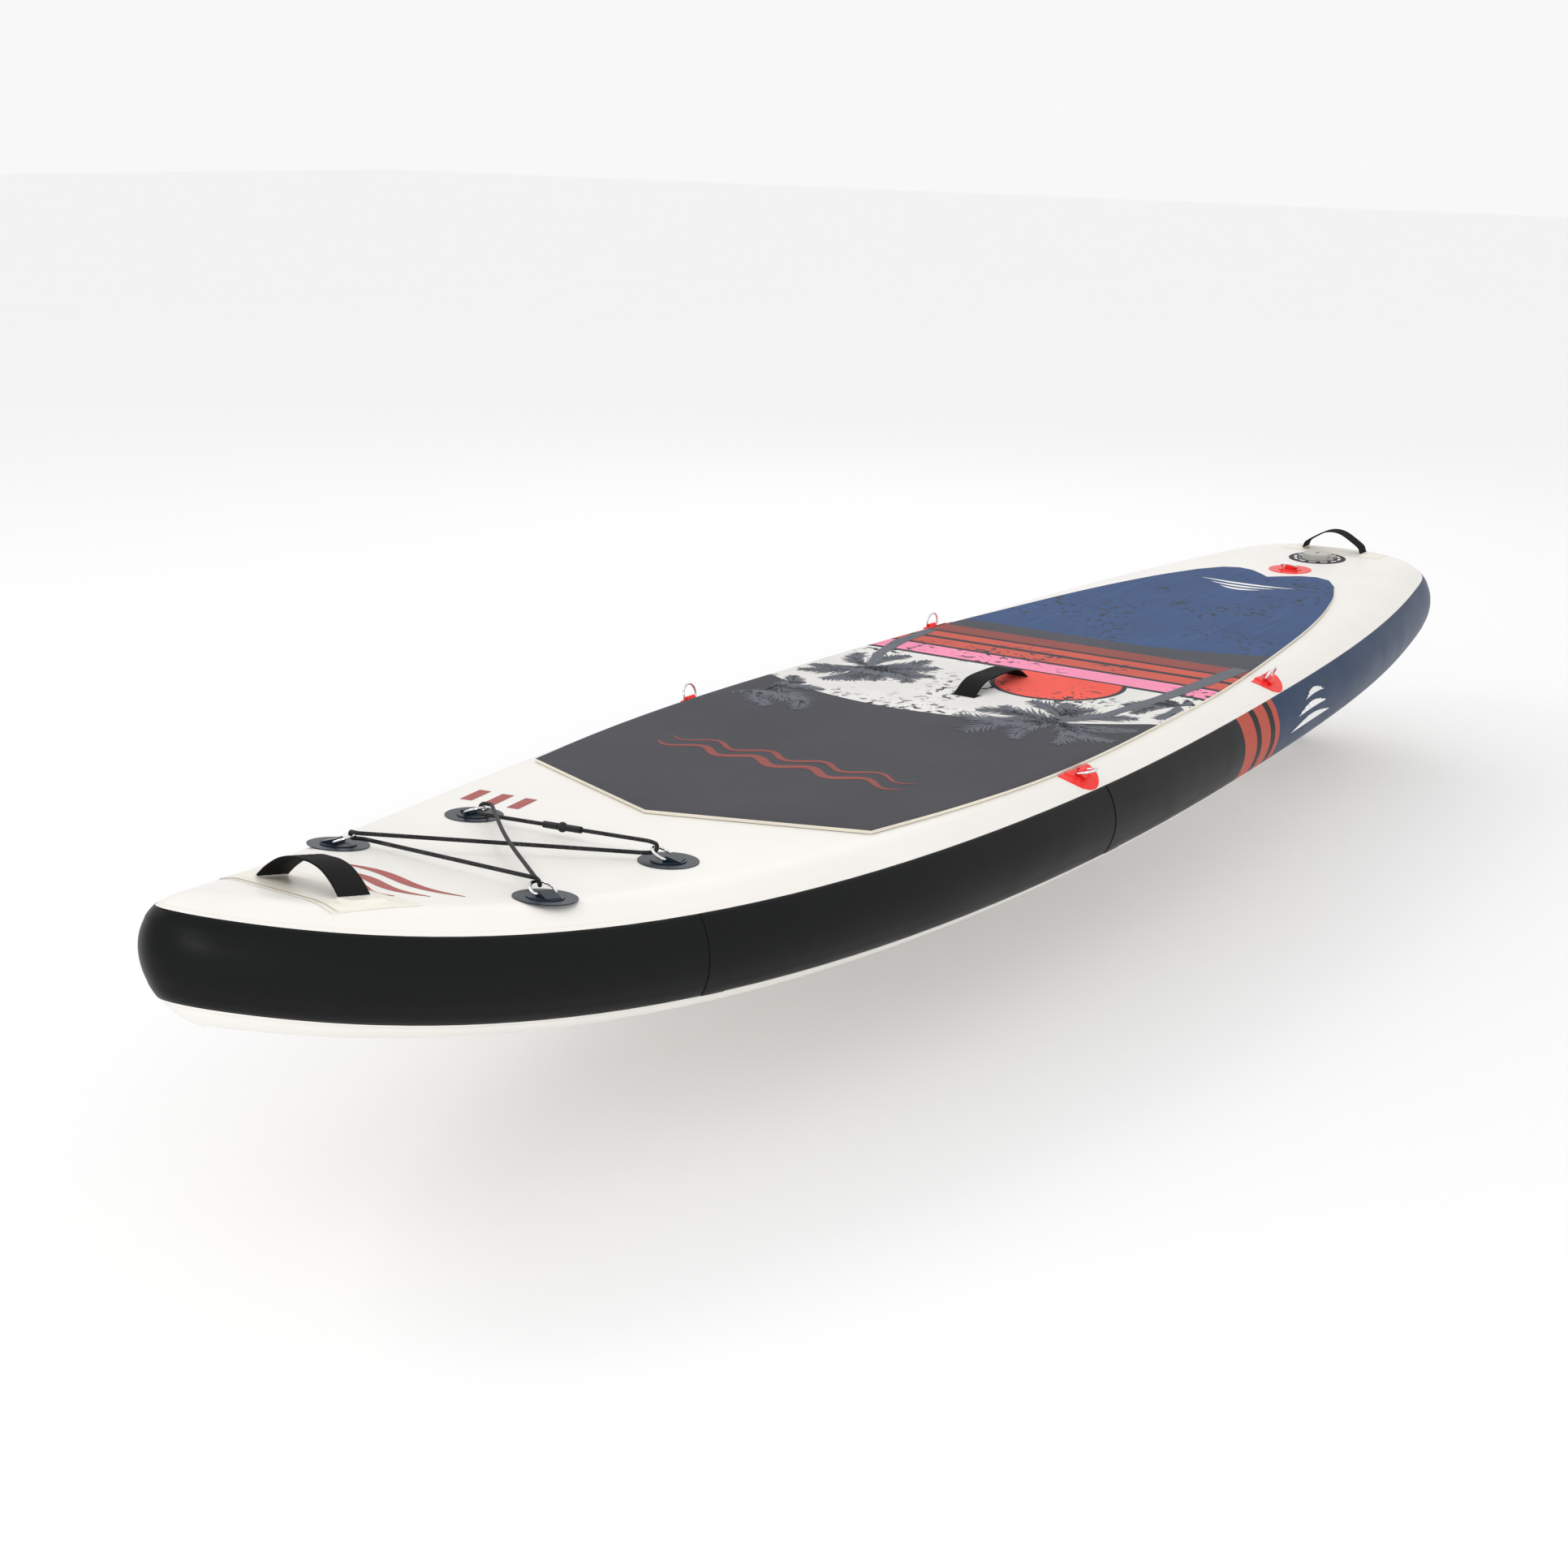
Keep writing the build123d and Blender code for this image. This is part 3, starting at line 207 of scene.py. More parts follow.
class Paint:
    """A principled material whose nodes are added one after another."""

    def __init__(self, name, colour, roughness, metallic=0.0):
        self.material = bpy.data.materials.new(name)
        self.material.use_nodes = True
        self.tree = self.material.node_tree
        self.shader = self.tree.nodes["Principled BSDF"]
        self.shader.inputs["Base Color"].default_value = (*colour, 1)
        self.shader.inputs["Roughness"].default_value = roughness
        self.shader.inputs["Metallic"].default_value = metallic
        self.place = self.node("ShaderNodeTexCoord").outputs["Object"]

    def node(self, kind, **inputs):
        """Adds a node. Plain values set its inputs and sockets are linked to them."""
        made = self.tree.nodes.new(kind)
        for key, value in inputs.items():
            self.feed(made.inputs[key.replace("_", " ")], value)
        return made

    def feed(self, socket, value):
        """Sets a socket to a value or links another socket to it."""
        if isinstance(value, bpy.types.NodeSocket):
            self.tree.links.new(value, socket)
        else:
            socket.default_value = value

    def stretched(self, x, y, z, turn=0.0):
        """Object coordinates scaled differently along each axis."""
        mapping = self.node("ShaderNodeMapping", Vector=self.place)
        mapping.inputs["Scale"].default_value = (x, y, z)
        mapping.inputs["Rotation"].default_value = (0, 0, math.radians(turn))
        return mapping.outputs["Vector"]

    def noise(self, scale, detail=2.0, vector=None):
        """Smooth random values from about 0.3 to 0.7."""
        made = self.node("ShaderNodeTexNoise", Vector=vector or self.place, Scale=scale, Detail=detail)
        return made.outputs["Fac"]

    def ridges(self, scale, turn):
        """Even ridges that run across the X axis turned by an angle."""
        made = self.node("ShaderNodeTexWave", Vector=self.stretched(1, 1, 1, turn), Scale=scale)
        return made.outputs["Fac"]

    def maths(self, operation, a, b=0.0):
        """A sum, product or other simple operation of two values."""
        made = self.tree.nodes.new("ShaderNodeMath")
        made.operation = operation
        self.feed(made.inputs[0], a)
        self.feed(made.inputs[1], b)
        return made.outputs[0]

    def band(self, value, low, high):
        """0 below low, 1 above high, and a straight climb in between."""
        made = self.node("ShaderNodeMapRange", Value=value)
        made.inputs["From Min"].default_value = low
        made.inputs["From Max"].default_value = high
        return made.outputs["Result"]

    def mix(self, factor, a, b):
        """A colour between two colours."""
        made = self.tree.nodes.new("ShaderNodeMix")
        made.data_type = "RGBA"
        self.feed(made.inputs[0], factor)
        for socket, value in ((made.inputs[6], a), (made.inputs[7], b)):
            self.feed(socket, value if isinstance(value, bpy.types.NodeSocket) else (*value, 1))
        return made.outputs[2]

    def colour(self, socket):
        """Links the colour of the surface."""
        self.tree.links.new(socket, self.shader.inputs["Base Color"])

    def uneven_roughness(self, noise, middle):
        """Lets the roughness vary a little round its middle value."""
        spread = self.maths("MULTIPLY", noise, ROUGHNESS_SPREAD)
        lowest = middle - ROUGHNESS_SPREAD / 2
        self.feed(self.shader.inputs["Roughness"], self.maths("ADD", spread, lowest))

    def bump(self, height, distance, strength=1.0):
        """Adds relief of a height in metres."""
        made = self.node("ShaderNodeBump", Height=height, Strength=strength, Distance=distance)
        self.tree.links.new(made.outputs["Normal"], self.shader.inputs["Normal"])

    def set(self, **values):
        """Sets shader sockets that are the same all over the surface."""
        for key, value in values.items():
            self.shader.inputs[key.replace("_", " ")].default_value = value
        return self.material


DARK = (0.055, 0.055, 0.065)


def shade(colour, factor):
    """A lighter or darker version of a colour."""
    return tuple(min(c * factor, 1.0) for c in colour)


def coated_fabric(name, colour, roughness, coat=0.0, gloss=0.5):
    """PVC over a woven base cloth: the cloth shows through as a fine diagonal weave."""
    paint = Paint(name, colour, roughness)
    weave = paint.maths("MULTIPLY", paint.ridges(330, 45), paint.ridges(330, -45))
    cloudy = paint.band(paint.noise(5.0, 3.0), 0.35, 0.68)
    paint.colour(paint.mix(cloudy, shade(colour, 0.975), shade(colour, 1.02)))
    paint.uneven_roughness(paint.noise(14.0, 2.0), roughness)
    paint.bump(weave, 0.00012, 0.35)
    return paint.set(Coat_Weight=coat, Coat_Roughness=0.25, Specular_IOR_Level=gloss)


def moulded(name, colour, roughness, coat=0.0, grain=900.0, gloss=0.3):
    """Moulded plastic or rubber with a fine spark-eroded grain."""
    paint = Paint(name, colour, roughness)
    fine = paint.noise(grain, 2.0)
    cloudy = paint.band(paint.noise(30.0), 0.3, 0.7)
    paint.colour(paint.mix(cloudy, shade(colour, 0.9), shade(colour, 1.08)))
    paint.bump(fine, 0.00004, 0.4)
    return paint.set(Coat_Weight=coat, Coat_Roughness=0.2, Specular_IOR_Level=gloss)


def steel(name, colour, roughness):
    """Polished wire with faint drawing marks and a little wear."""
    paint = Paint(name, colour, roughness, 1.0)
    marks = paint.noise(420.0, 3.0, paint.stretched(1, 0.15, 1))
    paint.uneven_roughness(marks, roughness)
    paint.bump(marks, 0.00002, 0.3)
    return paint.material


def webbing_cloth(name, colour):
    """Ribbed webbing: rows of slanting yarns across the strap."""
    paint = Paint(name, colour, 0.72)
    yarns = paint.maths("MAXIMUM", paint.ridges(170, 28), paint.ridges(170, -28))
    paint.colour(paint.mix(paint.band(yarns, 0.55, 1.0), shade(colour, 0.45), shade(colour, 1.9)))
    paint.bump(yarns, 0.0005, 0.8)
    return paint.set(Specular_IOR_Level=0.12)


def braid(name, colour, fleck):
    """Braided elastic cord with light flecks."""
    paint = Paint(name, colour, 0.6)
    cells = paint.node("ShaderNodeTexVoronoi", Vector=paint.place, Scale=650.0).outputs["Distance"]
    flecks = paint.band(paint.noise(900.0, 1.0), 0.66, 0.70)
    paint.colour(paint.mix(flecks, colour, fleck))
    paint.bump(cells, 0.0004, 0.6)
    return paint.set(Sheen_Weight=0.05, Specular_IOR_Level=0.2)


def printed_foam(name, colour, amount=0.0, worn=DARK, size=70.0, streaks=0.0):
    """Printed deck-pad foam: brushed grain and clusters of specks where the print is worn."""
    paint = Paint(name, colour, 0.78)
    grain = paint.noise(700.0, 3.0, paint.stretched(1, 0.6, 1))
    cloudy = paint.band(paint.noise(7.0, 3.0), 0.35, 0.65)
    base = paint.mix(cloudy, shade(colour, 0.93), shade(colour, 1.06))
    base = paint.mix(paint.band(grain, 0.35, 0.75), base, paint.mix(0.5, base, shade(colour, 0.8)))
    if streaks > 0:
        lines = paint.band(paint.noise(1.0, 2.0, paint.stretched(2.5, 120, 1)), 0.58, 0.72)
        base = paint.mix(paint.maths("MULTIPLY", lines, streaks), base, shade(colour, 1.45))
    if amount > 0:
        clusters = paint.band(paint.noise(6.5, 2.0), 0.50, 0.60)
        specks = paint.band(paint.noise(size, 4.0), 0.72 - amount, 0.735 - amount)
        base = paint.mix(paint.maths("MULTIPLY", clusters, specks), base, worn)
    paint.colour(base)
    paint.bump(grain, 0.00025, 0.5)
    return paint.set(Specular_IOR_Level=0.2)


def ink(name, colour):
    """Screen-printed mark with thin spots."""
    paint = Paint(name, colour, 0.55)
    thin = paint.band(paint.noise(160.0, 3.0), 0.58, 0.72)
    paint.colour(paint.mix(thin, colour, shade(colour, 1.35)))
    return paint.material


MATERIALS = {
    "white_pvc": coated_fabric("white_pvc", (0.86, 0.835, 0.79), 0.42, coat=0.15),
    "black_rail": coated_fabric("black_rail", (0.0050, 0.0056, 0.0058), 0.40, gloss=0.12),
    "patch_pvc": coated_fabric("patch_pvc", (0.84, 0.79, 0.69), 0.36, coat=0.2),
    "navy_rail": coated_fabric("navy_rail", (0.004, 0.028, 0.082), 0.38, gloss=0.14),
    "stripe_rail": coated_fabric("stripe_rail", (0.46, 0.070, 0.042), 0.42, gloss=0.12),
    "inner_tape": coated_fabric("inner_tape", (0.30, 0.30, 0.31), 0.6),
    "thread": webbing_cloth("thread", (0.75, 0.75, 0.73)),
    "slate_pvc": moulded("slate_pvc", (0.010, 0.019, 0.030), 0.30, grain=300.0, gloss=0.16),
    "red_pvc": moulded("red_pvc", (0.88, 0.018, 0.013), 0.28, grain=300.0, gloss=0.25),
    "stainless_steel": steel("stainless_steel", (0.78, 0.78, 0.79), 0.16),
    "spring_steel": steel("spring_steel", (0.62, 0.62, 0.64), 0.28),
    "webbing": webbing_cloth("webbing", (0.0065, 0.0065, 0.0070)),
    "cord": braid("cord", (0.009, 0.009, 0.010), (0.22, 0.22, 0.23)),
    "black_plastic": moulded("black_plastic", (0.010, 0.010, 0.011), 0.42),
    "label": moulded("label", (0.010, 0.010, 0.011), 0.5, grain=200.0, gloss=0.12),
    "seal_rubber": moulded("seal_rubber", (0.03, 0.03, 0.03), 0.7),
    "valve_plastic": moulded("valve_plastic", (0.50, 0.49, 0.455), 0.45),
    "fin_plastic": moulded("fin_plastic", (0.018, 0.018, 0.02), 0.32, coat=0.2),
    "charcoal": printed_foam("charcoal", (0.068, 0.068, 0.078)),
    "foam_pad": printed_foam("foam_pad", (0.84, 0.78, 0.66)),
    "sky": printed_foam("sky", (0.80, 0.785, 0.755), 0.165),
    "line": printed_foam("line", DARK),
    "pink": printed_foam("pink", (0.93, 0.30, 0.47), 0.15),
    "coral": printed_foam("coral", (0.62, 0.115, 0.085), 0.15),
    "brick": printed_foam("brick", (0.30, 0.085, 0.075), 0.13),
    "slate": printed_foam("slate", (0.080, 0.084, 0.102)),
    "blue": printed_foam("blue", (0.050, 0.094, 0.215), 0.135, (0.050, 0.050, 0.060), 75.0, 0.45),
    "sun": printed_foam("sun", (0.92, 0.115, 0.085), 0.16),
    "palm": printed_foam("palm", (0.145, 0.152, 0.180)),
    "wave_print": printed_foam("wave_print", (0.30, 0.085, 0.075)),
    "red_ink": ink("red_ink", (0.36, 0.06, 0.05)),
    "white_ink": ink("white_ink", (0.85, 0.85, 0.84)),
}


# ---------------------------------------------------------------- mesh helpers
def add_piece(name, mesh, materials, body="board"):
    """Links a mesh as a piece that rides on a body."""
    piece = bpy.data.objects.new(name, mesh)
    bpy.context.scene.collection.objects.link(piece)
    for key in materials:
        mesh.materials.append(MATERIALS[key])
    mesh.polygons.foreach_set("use_smooth", [True] * len(mesh.polygons))
    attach(piece, body)
    return piece


def grid_mesh(name, rows, slots=None):
    """Mesh of quads between equal rows of points, with a material slot for each band of quads."""
    vertices = [point for row in rows for point in row]
    width = len(rows[0])
    faces, face_slots = [], []
    for r in range(len(rows) - 1):
        for c in range(width - 1):
            here, after = r * width + c, (r + 1) * width + c
            faces.append((here, here + 1, after + 1, after))
            face_slots.append(slots[r] if slots else 0)
    mesh = bpy.data.meshes.new(name)
    mesh.from_pydata(vertices, [], faces)
    mesh.polygons.foreach_set("material_index", face_slots)
    shape = bmesh.new()
    shape.from_mesh(mesh)
    bmesh.ops.remove_doubles(shape, verts=shape.verts, dist=1e-6)
    bmesh.ops.recalc_face_normals(shape, faces=shape.faces)
    shape.to_mesh(mesh)
    shape.free()
    return mesh


def ribbon(name, runs, point_at, material):
    """Flat shapes laid on the board: each run is a list of left and right plan points."""
    vertices, faces = [], []
    for run in runs:
        start = len(vertices)
        for left, right in run:
            vertices += [point_at(*left), point_at(*right)]
        for k in range(len(run) - 1):
            a = start + 2 * k
            faces.append((a, a + 1, a + 3, a + 2))
    mesh = bpy.data.meshes.new(name)
    mesh.from_pydata(vertices, [], faces)
    mesh.update()
    add_piece(name, mesh, [material])


def sides(points, widths):
    """Left and right points of a stroke along plan points."""
    run = []
    for k, (x, y) in enumerate(points):
        ax, ay = points[max(k - 1, 0)]
        bx, by = points[min(k + 1, len(points) - 1)]
        length = math.hypot(bx - ax, by - ay) or 1.0
        nx, ny = -(by - ay) / length, (bx - ax) / length
        w = widths[k] / 2
        run.append(((x + nx * w, y + ny * w), (x - nx * w, y - ny * w)))
    return run


def swelling(points, thin, swell, power=1):
    """A stroke along plan points that is thin at its ends and thick in the middle."""
    last = len(points) - 1
    return sides(points, [thin + swell * math.sin(math.pi * j / last) ** power for j in range(last + 1)])


# ---------------------------------------------------------------- hull
FABRIC_LIFT, LAP_LIFT, EDGE_TUCK, LAP_LENGTH = 0.0007, 0.0013, -0.0002, 0.032
SEAM_TAPE = [(0, 0.0009), (1.2, 0.0006), (5.5, 0.0004), (6.0, -0.0001)]
SAMPLES_ALONG = 150
LAST_SAMPLE = len(HALF) - 1
EASED = [0.5 - 0.5 * math.cos(math.pi * k / SAMPLES_ALONG) for k in range(SAMPLES_ALONG + 1)]
ROWS = sorted({round(LAST_SAMPLE * share) for share in EASED})


def sheet(name, seam, node):
    """Deck or bottom sheet: a flat middle and edges that curl to the seam."""
    up = 1 if seam > 0 else -1
    curl = [seam + (90 * up - seam) * k / 10 for k in range(11)]
    across = 14
    rows = []
    for index in ROWS:
        port = [rail_point(index, angle) for angle in curl]
        starboard = [rail_point(index, angle, 0, -1) for angle in reversed(curl)]
        middle = [port[-1].lerp(starboard[0], k / across) for k in range(1, across)]
        rows.append(port + middle + starboard)
    piece = add_piece(name, grid_mesh(name, rows), ["white_pvc"])
    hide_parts(node)
    return piece.data


def ridge(angle):
    """How far the rail fabric stands out where it covers the edges of the layer below."""
    upper = min(max((angle - 26.0) / 2.0, 0), 1)
    lower = min(max((-25.0 - angle) / 2.0, 0), 1)
    return 0.0006 * (upper + lower)


def rail_rows(x_from, x_to, lift, top, side):
    """Rows of rail points from one x to another, with edges that turn in to the fabric below."""
    first, last = sample_at(x_from), sample_at(x_to)
    picked = sorted({first, last} | {i for i in ROWS if first < i < last})
    angles = [SEAM_DOWN + (top - SEAM_DOWN) * k / 24 for k in range(25)]
    rows = []
    for index in picked:
        row = [rail_point(index, SEAM_DOWN, EDGE_TUCK, side)]
        row += [rail_point(index, angle, lift + ridge(angle), side) for angle in angles]
        row.append(rail_point(index, top, EDGE_TUCK, side))
        rows.append(row)
    return rows


def rails():
    """Rail fabric all round the board, in its colours, with laps where lengths join."""
    cuts = [0.0, NAVY_FROM]
    for low, high in reversed(RAIL_STRIPES):
        cuts += [low, high]
    cuts = sorted(set(cuts)) + [LENGTH]
    colours = {round(low, 3): "stripe_rail" for low, _ in RAIL_STRIPES}
    colours[0.0] = "navy_rail"
    keys = ["black_rail", "navy_rail", "stripe_rail"]
    rows, slots = [], []
    for side in (1, -1):
        runs = list(zip(cuts, cuts[1:]))
        if side < 0:
            runs.reverse()
        for low, high in runs:
            part = rail_rows(low, high, FABRIC_LIFT, SEAM_UP, side)
            if side < 0:
                part.reverse()
            key = keys.index(colours.get(round(low, 3), "black_rail"))
            rows += part if not rows else part[1:]
            slots += [key] * (len(part) - 1)
    piece = add_piece("rail_fabric", grid_mesh("rail_fabric", rows, slots), keys)
    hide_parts("rail_nose", "rail_middle_port", "rail_middle_starboard", "rail_tail")
    for name, x in (("nose", NOSE_LAP), ("middle", MIDDLE_LAP)):
        for side_name, side in SIDES:
            lap = rail_rows(x, x + LAP_LENGTH, LAP_LIFT, SEAM_UP - 0.3, side)
            label = "rail_lap_" + name + "_" + side_name
            add_piece(label, grid_mesh(label, lap), ["black_rail"])


def seam_beads():
    """A thin glued edge of clear tape above and below the rail, all round the board."""
    for name, angle in (("upper", SEAM_UP), ("lower", SEAM_DOWN)):
        sign = 1 if angle > 0 else -1
        rows = []
        for side in (1, -1):
            part = []
            for index in ROWS:
                part.append([rail_point(index, angle + sign * a, h, side) for a, h in SEAM_TAPE])
            if side < 0:
                part.reverse()
            rows += part if not rows else part[1:]
        label = "seam_tape_" + name
        add_piece(label, grid_mesh(label, rows), ["white_pvc"])


# ---------------------------------------------------------------- deck pad
def pad_half(x):
    """Half the pad's width at x, on a smooth line through its side points."""
    xs = [p[0] for p in PAD_SIDE]
    k = min(max(int(np.searchsorted(xs, x)) - 1, 0), len(xs) - 2)
    p = [PAD_SIDE[min(max(i, 0), len(xs) - 1)] for i in (k - 1, k, k + 1, k + 2)]
    t = min(max((x - p[1][0]) / (p[2][0] - p[1][0]), 0), 1)
    run = p[2][0] - p[1][0]
    slopes = []
    for a, b in ((p[0], p[2]), (p[1], p[3])):
        slopes.append((b[1] - a[1]) / max(b[0] - a[0], 1e-6) * run)
    a = 2 * t**3 - 3 * t**2 + 1
    b = t**3 - 2 * t**2 + t
    c = -2 * t**3 + 3 * t**2
    d = t**3 - t**2
    return a * p[1][1] + b * slopes[0] + c * p[2][1] + d * slopes[1]


def pad_point(x, across):
    """Plan point of the pad: x is the row's place at the pad's side, across runs from -1 to 1."""
    y = across * pad_half(x)
    rear = max((0.75 - x) / (0.75 - PAD_REAR), 0) ** 2
    front = max((x - 2.10) / (PAD_CORNER - 2.10), 0) ** 1.5
    lobe = float(np.interp(abs(y), *zip(*PAD_LOBES))) - PAD_REAR
    nose = (PAD_FRONT - PAD_CORNER) * (1 - abs(across))
    return x + rear * lobe + front * nose, y


def arc_edge(y):
    """Where the dark front of the print ends and the pale sky begins."""
    return 1.727 - (y + 0.07) ** 2 / 0.95


def tail_edge(y):
    """Where the dark stripe ends and the blue tail of the print begins."""
    return 1.110 - 0.055 * (max(y - 0.05, 0) / 0.22) ** 1.5


def level(x):
    """An edge that runs straight across."""
    return lambda y: x


PRINT = [
    ("charcoal", level(PAD_CORNER)), ("sky", arc_edge), ("line", level(1.392)),
    ("pink", level(1.380)), ("line", level(1.325)), ("coral", level(1.314)),
    ("line", level(1.272)), ("coral", level(1.258)), ("line", level(1.225)),
    ("brick", level(1.214)), ("slate", level(1.168)), ("blue", tail_edge), (None, level(PAD_REAR)),
]


def pad_rows():
    """Rows of plan points from the front of the pad to its tail, and each row's print colour."""
    columns = [k / 32 for k in range(-32, 33)]
    rows, keys = [], []
    for (key, start), (_, stop) in zip(PRINT, PRINT[1:]):
        span = start(0) - stop(0)
        steps = max(1, round(span / 0.022))
        count = steps + 1 if stop(0) == PAD_REAR else steps
        for k in range(count):
            t = k / steps
            row = []
            for across in columns:
                y = across * pad_half(start(0) + (stop(0) - start(0)) * t)
                row.append(pad_point(start(y) + (stop(y) - start(y)) * t, across))
            rows.append(row)
            keys.append(key)
    return rows, keys


INK_LIFT = 0.0003


def on_pad(x, y, lift=0.0):
    """A point on top of the pad."""
    return world(x, y, deck_height(x, y) + PAD_THICKNESS + lift)


def on_print(x, y):
    """A point of ink on the pad."""
    return on_pad(x, y, INK_LIFT)


def on_deck(x, y, lift=INK_LIFT):
    """A point on the deck sheet, or of ink on it."""
    return world(x, y, deck_height(x, y) + lift)


def on_bottom(x, y):
    """A point of ink on the bottom sheet."""
    return world(x, y, rocker(x) - INK_LIFT)


def bake(piece):
    """Applies a piece's modifiers to its mesh."""
    view = bpy.context.evaluated_depsgraph_get()
    mesh = bpy.data.meshes.new_from_object(piece.evaluated_get(view))
    piece.modifiers.clear()
    piece.data = mesh


def carve(piece, boxes):
    """Cuts boxes out of a piece and keeps the result as its mesh."""
    for low, high in boxes:
        shape = bmesh.new()
        bmesh.ops.create_cube(shape, size=1.0)
        scale = Matrix.Diagonal((*(high - low), 1))
        placed = Matrix.Translation((high + low) / 2) @ scale
        bmesh.ops.transform(shape, matrix=placed, verts=shape.verts)
        mesh = bpy.data.meshes.new("cutter")
        shape.to_mesh(mesh)
        shape.free()
        cutter = bpy.data.objects.new("cutter", mesh)
        bpy.context.scene.collection.objects.link(cutter)
        cut = piece.modifiers.new("cut", "BOOLEAN")
        cut.object = cutter
        cut.solver = "EXACT"
        bake(piece)
        bpy.data.objects.remove(cutter)


def pad():
    """Foam pad: one sheet with a printed top, cream sides and slits for the centre handle."""
    rows, keys = pad_rows()
    used = list(dict.fromkeys(keys)) + ["foam_pad"]
    points = [[on_pad(x, y) for x, y in row] for row in rows]
    mesh = grid_mesh("deck_pad_foam", points, [used.index(key) for key in keys])
    piece = add_piece("deck_pad_foam", mesh, used)
    solid = piece.modifiers.new("thickness", "SOLIDIFY")
    solid.thickness = PAD_THICKNESS - 0.0002
    solid.offset = -1
    solid.material_offset_rim = len(used) - 1
    solid.material_offset = 0
    edge = piece.modifiers.new("edge", "BEVEL")
    edge.width = 0.0009
    edge.segments = 3
    edge.limit_method = "ANGLE"
    edge.angle_limit = math.radians(50)
    bake(piece)
    slits = []
    for end in (-1, 1):
        middle = CENTRE_HANDLE_X + end * SLIT_OFFSET
        z = rocker(middle) + THICKNESS
        low = world(middle - SLIT_HALF_X, -SLIT_HALF_Y, z - 0.01)
        slits.append((low, world(middle + SLIT_HALF_X, SLIT_HALF_Y, z + 0.02)))
    carve(piece, slits)
    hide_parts("deck_pad")


def sun():
    """Sun disc behind the centre handle, with a dark outline, standing on the first stripe."""
    for name, radius, lift, material in (
        ("print_sun_outline", SUN_RADIUS + 0.008, 0.00015, "line"),
        ("print_sun", SUN_RADIUS, 0.00030, "sun"),
    ):
        reach = math.acos((SUN_FOOT - SUN_X) / radius)
        count = 64
        run = []
        for k in range(count + 1):
            turn = reach * k / count
            x = SUN_X + radius * math.cos(turn)
            half = radius * math.sin(turn)
            run.append(((x, SUN_Y + half), (x, SUN_Y - half)))
        lanes = []
        for left, right in zip(run, run[1:]):
            lanes.append([left, right])
        ribbon(name, lanes, lambda x, y: on_pad(x, y, lift), material)


LEAFLETS = 17

# Each palm: its name, its crown, its trunk from the crown down, and the tips of its fronds.
PALMS = [
    (
        "print_palm_far", (1.520, -0.218),
        [(1.520, -0.218), (1.440, -0.255), (1.338, -0.278), (1.222, -0.288)],
        [
            (1.605, -0.300), (1.640, -0.232), (1.625, -0.200), (1.578, -0.113), (1.520, -0.100),
            (1.460, -0.125), (1.426, -0.166), (1.415, -0.208), (1.450, -0.285), (1.566, -0.304),
            (1.600, -0.165),
        ],
    ),
    (
        "print_palm_far_low", (1.735, -0.262), [],
        [
            (1.829, -0.153), (1.836, -0.200), (1.782, -0.161), (1.677, -0.240), (1.650, -0.281),
            (1.800, -0.290), (1.700, -0.190),
        ],
    ),
    (
        "print_palm_near", (1.648, 0.195),
        [(1.648, 0.195), (1.560, 0.232), (1.420, 0.252), (1.265, 0.263), (1.165, 0.274)],
        [
            (1.701, 0.053), (1.612, 0.080), (1.560, 0.098), (1.540, 0.145), (1.546, 0.200),
            (1.560, 0.280), (1.622, 0.310), (1.700, 0.312), (1.763, 0.250), (1.775, 0.190),
            (1.785, 0.110), (1.660, 0.060),
        ],
    ),
    (
        "print_palm_near_low", (1.450, 0.292), [],
        [
            (1.496, 0.225), (1.462, 0.235), (1.429, 0.255), (1.408, 0.290), (1.534, 0.262),
            (1.540, 0.300),
        ],
    ),
]


def palm(name, crown, trunk, tips):
    """Palm silhouette: a bent trunk and fronds with leaflets, kept within the pad."""
    def keep(x, y):
        edge = pad_half(x) - 0.003
        return on_pad(x, min(max(y, -edge), edge), 0.00045)

    runs = []
    if trunk:
        widths = [0.012 + 0.006 * k for k in range(len(trunk))]
        runs.append(sides(trunk, widths))
    for tip_x, tip_y in tips:
        dx, dy = tip_x - crown[0], tip_y - crown[1]
        length = math.hypot(dx, dy)
        bow = 0.16 * length * random.choice((-1, 1))
        nx, ny = -dy / length, dx / length
        rib = []
        for k in range(LEAFLETS):
            t = k / (LEAFLETS - 1)
            lift = math.sin(math.pi * t) * bow
            rib.append((crown[0] + dx * t + nx * lift, crown[1] + dy * t + ny * lift))
        runs.append(sides(rib, [0.010 * (1 - k / LEAFLETS) + 0.0012 for k in range(LEAFLETS)]))
        for k in range(1, LEAFLETS - 1):
            share = k / (LEAFLETS - 1)
            for side in (-1, 1):
                root = rib[k]
                ahead = (rib[k + 1][0] - root[0], rib[k + 1][1] - root[1])
                size = math.hypot(*ahead)
                ux, uy = ahead[0] / size, ahead[1] / size
                reach = length * (0.10 + 0.27 * math.sin(math.pi * share**0.7))
                leaf = reach * random.uniform(0.8, 1.08)
                lean = random.uniform(0.60, 0.80)
                end = (
                    root[0] + leaf * (ux * math.cos(lean) - side * uy * math.sin(lean)),
                    root[1] + leaf * (uy * math.cos(lean) + side * ux * math.sin(lean)),
                )
                half = ((root[0] + end[0]) / 2 + ux * 0.002, (root[1] + end[1]) / 2 + uy * 0.002)
                runs.append(sides([root, half, end], [0.0062, 0.0040, 0.0003]))
    ribbon(name, runs, keep, "palm")


